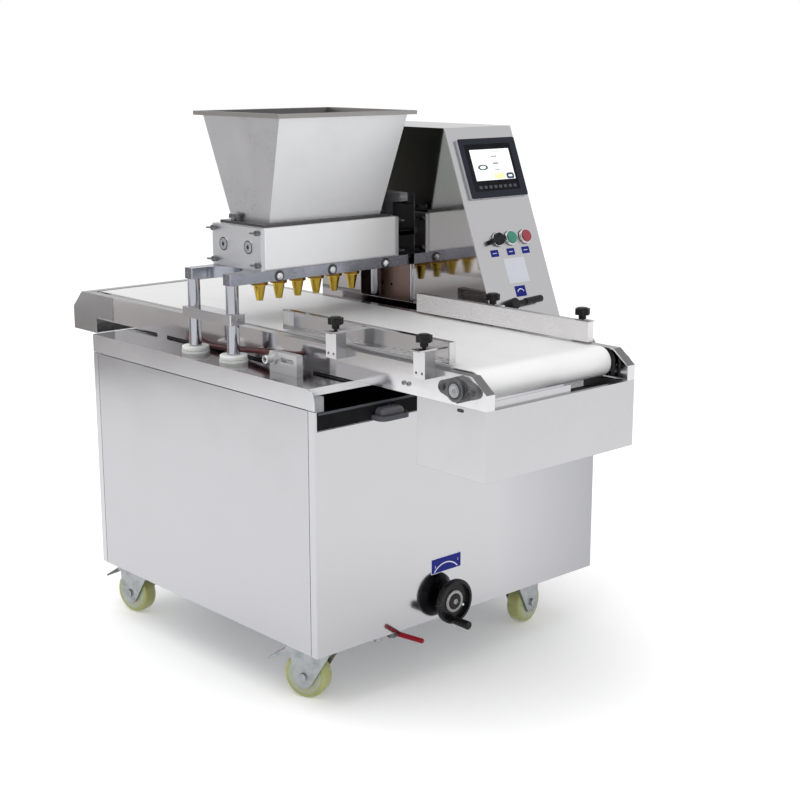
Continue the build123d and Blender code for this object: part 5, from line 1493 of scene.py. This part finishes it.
@dataclass
class DepositingHead(SubAssembly):
    """Head base, nozzles, feed block, hopper, posts and lifting gear."""

    roller_x: tuple[float, ...] = (-98.0, -8.0)
    roller_z: float = 929.0
    cap_screw: Profile = ((12.4, 0.0), (12.4, 0.7), (11.6, 1.2), (5.2, 1.2, HEXAGON), (5.2, 0.2, HEXAGON))
    cap_edge: Profile = ((15.0, 0.0), (14.7, 0.4), (12.4, 0.4), (12.4, 0.0))
    cap_socket: Profile = ((5.2, 0.1, HEXAGON), (4.68, 0.3, HEXAGON), (0.0, 0.25))
    tie_screw: Screw = Screw(5.0, 1.5)
    tie_y: float = -368.0
    washer: Profile = ((12.6, 0.0), (12.6, 0.9), (12.2, 1.3), (9.05, 1.3), (9.05, 0.0))
    washer_steps: int = 40
    dome_offset: tuple[float, ...] = (-147.0, 2.0, 161.0)
    dome_z: float = 866.1

    def build(self) -> None:
        """Dress the head and make its screws."""
        self.dress(CHROME, "head_posts")
        self.dress(SHEET, "post_tie_bars")
        self.dress(NYLON, "post_collars")
        self.dress(ARM_STEEL, "head_base")
        self.dress(BRASS, "nozzles")
        self.dress(FEED_BLOCK, "feed_block")
        self.dress(END_PLATE, "end_plates")
        self.dress(BRIGHT, "feed_roller_rear", "feed_roller_front")
        self.dress(NUT_ZINC, "head_fasteners")
        self.dress(HOPPER_SHEET, "hopper")
        self.dress(DARK_MOTOR, "feed_motor")
        self.dress(MOTOR, "lift_jack")
        self.dress(FRAME_STEEL, "lift_yoke")
        self._cap_screws()
        self._tie_screws()
        self._shade_washers()

    def _cap_screws(self) -> None:
        """Make the dark-edged socket screws in the near bearing caps, their sockets filled black as painted
        shade.
        """
        face = box("end_plates")[0].y
        screws, edges, sockets = (bmesh.new() for _ in range(3))
        for x in self.roller_x:
            where = seat((x, face, self.roller_z), NEAR)
            turn_shape(screws, self.cap_screw, where, SCREW_STEPS)
            turn_shape(edges, self.cap_edge, where)
            turn_shape(sockets, self.cap_socket, where, SCREW_STEPS)
        self.trim("cap_screws", screws, Slot.PLAIN_STEEL, FRAME_STEEL, Body.HEAD)
        self.trim("cap_edges", edges, Slot.PLAIN_STEEL, DARK_STEEL, Body.HEAD)
        # Painted shade: black fills in the screws' sockets.
        self.trim("cap_socket_shade", sockets, Slot.PLAIN_STEEL, RUBBER, Body.HEAD)

    def _tie_screws(self) -> None:
        """Make the clamp screws in both ends of the tie bar."""
        low, high = box("post_tie_bars")
        mesh = bmesh.new()
        for x, out in ((low.x, REAR), (high.x, FRONT)):
            socket_screw(mesh, self.tie_screw, seat((x, self.tie_y, (low.z + high.z) / 2), out))
        self.trim("tie_screws", mesh, Slot.PLAIN_STEEL, FRAME_STEEL, Body.HEAD)

    def _shade_washers(self) -> None:
        """Make the washers round the dome nuts on both faces of the arms, dark as painted shadow and
        reflection round each nut.
        """
        low, high = box("head_base")
        middle = sum(corner.y for corner in box("hopper")) / 2
        mesh = bmesh.new()
        for x, out in ((low.x, REAR), (high.x, FRONT)):
            for offset in self.dome_offset:
                turn_shape(mesh, self.washer, seat((x, middle + offset, self.dome_z), out), self.washer_steps)
        self.trim("dome_shade_washers", mesh, Slot.ZINC, DARK_STEEL, Body.HEAD)


@dataclass
class Handwheel(SubAssembly):
    """The lifting handwheel with its position dial and revolving grip."""

    middle: Point = (390.0, -65.0, 173.0)
    ring: Profile = ((25.0, 0.0), (25.0, 2.2), (24.2, 3.0), (18.3, 3.6), (17.5, 3.0), (17.5, 0.0))
    face: Profile = ((17.3, 0.5), (17.3, 4.2), (16.3, 5.0), (0.0, 5.2))
    hub: Profile = ((6.0, 5.0), (6.0, 6.0), (5.0, 6.4), (3.0, 6.2), (2.7, 5.6), (0.0, 5.5))
    hub_steps: int = 32
    # Painted glint: a white pin on the dial's edge stands in for a glint.
    glint_pin: Profile = ((3.2, 0.0), (3.2, 2.4), (2.56, 3.6), (1.28, 4.2), (0.0, 4.3))
    glint_pin_steps: int = 24
    glint_pin_spot: Point = (25.5, -13.5, 0.0)
    tick: Plate = Plate(0.7, 2.0, 0.2, 0.4, 0.05, 2)
    tick_low: float = 2.9
    tick_end: float = 24.0
    tick_count: int = 20
    long_tick: float = 3.6
    long_every: int = 5

    def build(self) -> None:
        """Dress the handwheel and make its dial."""
        self.dress(BLACK_WHEEL, "handwheel", "handwheel_grip")
        where = seat(self.middle, FRONT)
        glint_pin = where @ Matrix.Translation(self.glint_pin_spot)
        body = Body.HANDWHEEL
        self.turned("dial_ring", self.ring, where, Slot.ALUMINIUM, DIAL_GREY, body)
        self.turned("dial_face", self.face, where, Slot.BLACK_PLASTIC, BLACK_WHEEL, body)
        self.turned("dial_hub", self.hub, where, Slot.ALUMINIUM, DIAL_GREY, body, self.hub_steps)
        # The white pin is a painted glint.
        self.turned("dial_glint_pin", self.glint_pin, glint_pin, Slot.WHITE_NYLON, NYLON, body, self.glint_pin_steps)
        mesh = bmesh.new()
        for i in range(self.tick_count):
            turned = where @ Matrix.Rotation(2 * math.pi * i / self.tick_count, 4, "Z")
            reach = self.tick.height if i % self.long_every else self.long_tick
            spot = (0.0, self.tick_end - reach / 2)
            slab(mesh, self.tick._replace(height=reach), turned, spot, self.tick_low)
        self.trim("dial_ticks", mesh, Slot.BLACK_PLASTIC, BLACK_KNOB, body)


@dataclass
class Console(SubAssembly):
    """Control housing with its mirror wall, screen, controls and labels.

    A spot on the sloped front is its Y and its distance down the slope from the top edge.
    """

    brow: Flat = (138.0, 1173.0)
    toe: Flat = (327.0, 692.0)
    bezel_proud: float = 7.0
    bezel_edge: float = 0.6
    screen_frame: Plate = Plate(148.0, 111.0, 4.0, 0.3, 0.2)
    frame_spot: Flat = (252.5, 98.5)
    glass: Plate = Plate(127.0, 73.0, 1.0, 0.3, 0.1)
    glass_spot: Flat = (254.5, 92.8)
    key: Plate = Plate(10.0, 7.0, 1.2, 0.3, 0.1)
    key_count: int = 8
    key_drop: float = 52.0
    oval: Arc = Arc(10.2, 5.0, 0.0, 359.9, 0.1, steps=40)
    oval_spot: Point = (-33.4, -5.7, 0.0)
    oval_stretch: Point = (1.25, 0.52, 1.0)
    bars: tuple[Plate, ...] = (
        Plate(66.0, 0.7, 0.3, 0.1, 0.02, 3), Plate(19.0, 3.0, 0.3, 0.1, 0.02, 3),
        Plate(18.0, 4.2, 0.3, 0.1, 0.02, 3), Plate(14.0, 2.4, 0.3, 0.1, 0.02, 3))
    bar_spots: tuple[Flat, ...] = ((10.0, 30.0), (9.6, 19.0), (10.0, 2.5), (11.0, -12.4))
    field: Plate = Plate(34.0, 12.0, 3.0, 0.1, 0.02)
    field_spot: Flat = (14.0, -28.0)
    button: Plate = Plate(25.0, 14.0, 6.0, 0.1, 0.02)
    button_bar: Plate = Plate(13.0, 4.6, 2.0, 0.1, 0.02)
    button_spot: Flat = (48.0, -28.5)
    control_down: float = 266.0
    collar_spots: tuple[Flat, ...] = ((215.0, 4.2), (254.5, 8.6), (302.6, 8.6))
    collar_outer: float = 16.8
    collar_inner: float = 14.6
    collar_ease: Flat = (0.8, 0.7)
    groove_share: float = 0.45
    groove_deep: float = 1.1
    groove_lips: Point = (0.2, 0.9, 1.1)
    gasket: Profile = ((17.6, 0.0), (17.3, 1.5), (14.6, 1.5), (14.6, 0.0))
    label: Plate = Plate(25.0, 16.0, 1.5, 0.3, 0.08)
    label_bar: Plate = Plate(13.0, 1.6, 0.5, 0.1, 0.02, 3)
    label_spots: tuple[Flat, ...] = ((195.5, 297.0), (248.0, 297.0), (297.0, 297.0))
    speed_label: Plate = Plate(34.0, 25.0, 1.5, 0.3, 0.08)
    speed_arc: Arc = Arc(11.0, 2.2, 25.0, 155.0, 0.1, (0.0, -6.0))
    speed_spot: Flat = (247.0, 390.0)
    notice: Plate = Plate(67.0, 58.0, 2.0, 0.2, 0.06)
    notice_spot: Flat = (251.5, 341.0)

    def slope(self) -> tuple[Vector, Vector]:
        """Return the direction down the sloped front and the direction out of it."""
        down = Vector((self.toe[0] - self.brow[0], 0.0, self.toe[1] - self.brow[1])).normalized()
        return down, Vector((-down.z, 0.0, down.x))

    def on_front(self, spot: Flat, proud: float = 0.0) -> Matrix:
        """Return a place on the sloped front.

        Args:
            spot: The spot on the front.
            proud: Height over the front.

        Returns:
            The place, with local X along Y and local Y up the slope.
        """
        down, normal = self.slope()
        origin = Vector((self.brow[0], spot[0], self.brow[1])) + down * spot[1] + normal * proud
        return seat(origin, normal, -down)

    def build(self) -> None:
        """Dress the console and make its screen, rings and labels."""
        _, normal = self.slope()
        face = normal.dot(Vector((self.brow[0], 0.0, self.brow[1]))) + self.bezel_proud - self.bezel_edge
        charcoal = Patch(PastPlane(tuple(normal), face), (0.018, 0.02, 0.032), 0.35)
        self.dress(SHEET, "console_housing")
        self.dress(MIRROR_WALL, "housing_wall")
        self.dress(Moulded("panel_bezel", (0.42, 0.43, 0.45), 0.35, marks=0.1, patches=(charcoal,),
                           worn=(0.1, 0.1, 0.12), wear=0.2, specular=0.12), "touch_panel")
        self.dress(BLACK_KNOB, "selector_knob", "console_lever")
        self.dress(GREEN, "start_button")
        self.dress(RED, "stop_button")
        self._screen()
        self._collars()
        self._labels()

    def _screen(self) -> None:
        """Make the lit screen with plain marks, its dark frame and the key row."""
        where = self.on_front(self.frame_spot, self.bezel_proud)
        self.plate("screen_frame", self.screen_frame, where, Slot.PANEL_GREY, BEZEL_INK)
        face = self.on_front(self.glass_spot, self.bezel_proud)
        low = self.screen_frame.thick
        self.plate("screen_glass", self.glass, face, Slot.PANEL_GREY, SCREEN, low=low)
        self._screen_marks(face, low + self.glass.thick)
        pitch = self.glass.width / self.key_count
        mesh = bmesh.new()
        for i in range(self.key_count):
            slab(mesh, self.key, face, ((i - (self.key_count - 1) / 2) * pitch, -self.key_drop), low)
        self.trim("screen_keys", mesh, Slot.PANEL_GREY, KEY_GREY)

    def _screen_marks(self, face: Matrix, top: float) -> None:
        """Make the screen's plain marks: an oval, some bars, a field and a button.

        Args:
            face: The screen's place.
            top: Height of the glass over it.
        """
        oval, bars = bmesh.new(), bmesh.new()
        stretch = Matrix.Diagonal((*self.oval_stretch, 1.0))
        band(oval, self.oval, face @ Matrix.Translation(self.oval_spot) @ stretch, top)
        self.trim("screen_oval", oval, Slot.PANEL_GREY, MARK_TEAL)
        for bar, spot in zip(self.bars, self.bar_spots):
            slab(bars, bar, face, spot, top)
        self.trim("screen_bars", bars, Slot.PANEL_GREY, MARK_GREY)
        for name, plate, finish, spot, low in (
                ("screen_field", self.field, MARK_YELLOW, self.field_spot, top),
                ("screen_button", self.button, MARK_BLUE, self.button_spot, top),
                ("screen_button_bar", self.button_bar, SCREEN, self.button_spot, top + self.button.thick)):
            self.plate(name, plate, face, Slot.PANEL_GREY, finish, middle=spot, low=low)

    def _collars(self) -> None:
        """Make the bright collars on dark gaskets round the selector and the push buttons."""
        collars, gaskets = bmesh.new(), bmesh.new()
        for y, tall in self.collar_spots:
            where = self.on_front((y, self.control_down))
            turn_shape(gaskets, self.gasket, where)
            turn_shape(collars, self._collar(tall), where)
        self.trim("control_collars", collars, Slot.ZINC, BRIGHT)
        self.trim("control_gaskets", gaskets, Slot.BLACK_PLASTIC, RUBBER)

    def _collar(self, tall: float) -> Profile:
        """Return the profile of a grooved collar on its gasket.

        Args:
            tall: Height of the collar's top over the front.

        Returns:
            The collar's rings.
        """
        outer, inner, low = self.collar_outer, self.collar_inner, self.gasket[1][1]
        groove = low + self.groove_share * (tall - low)
        deep = outer - self.groove_deep
        lips = [groove + lip for lip in self.groove_lips]
        ease, drop = self.collar_ease
        return ((inner, low), (outer, low), (outer, groove), (deep, lips[0]), (deep, lips[1]),
                (outer, lips[2]), (outer, tall - drop), (outer - ease, tall), (inner, tall))

    def _labels(self) -> None:
        """Make the plain navy labels and the bare notice plate."""
        plates, marks = bmesh.new(), bmesh.new()
        for spot in self.label_spots:
            where = self.on_front(spot)
            slab(plates, self.label, where)
            slab(marks, self.label_bar, where, low=self.label.thick)
        where = self.on_front(self.speed_spot)
        slab(plates, self.speed_label, where)
        band(marks, self.speed_arc, where, self.speed_label.thick)
        self.trim("control_labels", plates, Slot.PANEL_GREY, LABEL_NAVY)
        self.trim("control_label_marks", marks, Slot.PANEL_GREY, LABEL_WHITE)
        where = self.on_front(self.notice_spot)
        self.plate("bare_notice_plate", self.notice, where, Slot.PANEL_GREY, LABEL_PALE)


def main() -> None:
    """Build the camera, the lead, every sub-assembly and the studio."""
    logging.basicConfig(level=logging.INFO, format="%(message)s")
    PhotoCamera().build()
    finishes = Finishes()
    sensor = SensorLead(finishes)
    sensor.build_lead()
    kinds = (Cabinet, Castors, Conveyor, TrayGuides, DepositingHead, Handwheel, Console)
    for part in (sensor, *(kind(finishes) for kind in kinds)):
        part.build()
    Studio(finishes.effects).build()


if __name__ == "__main__":
    main()
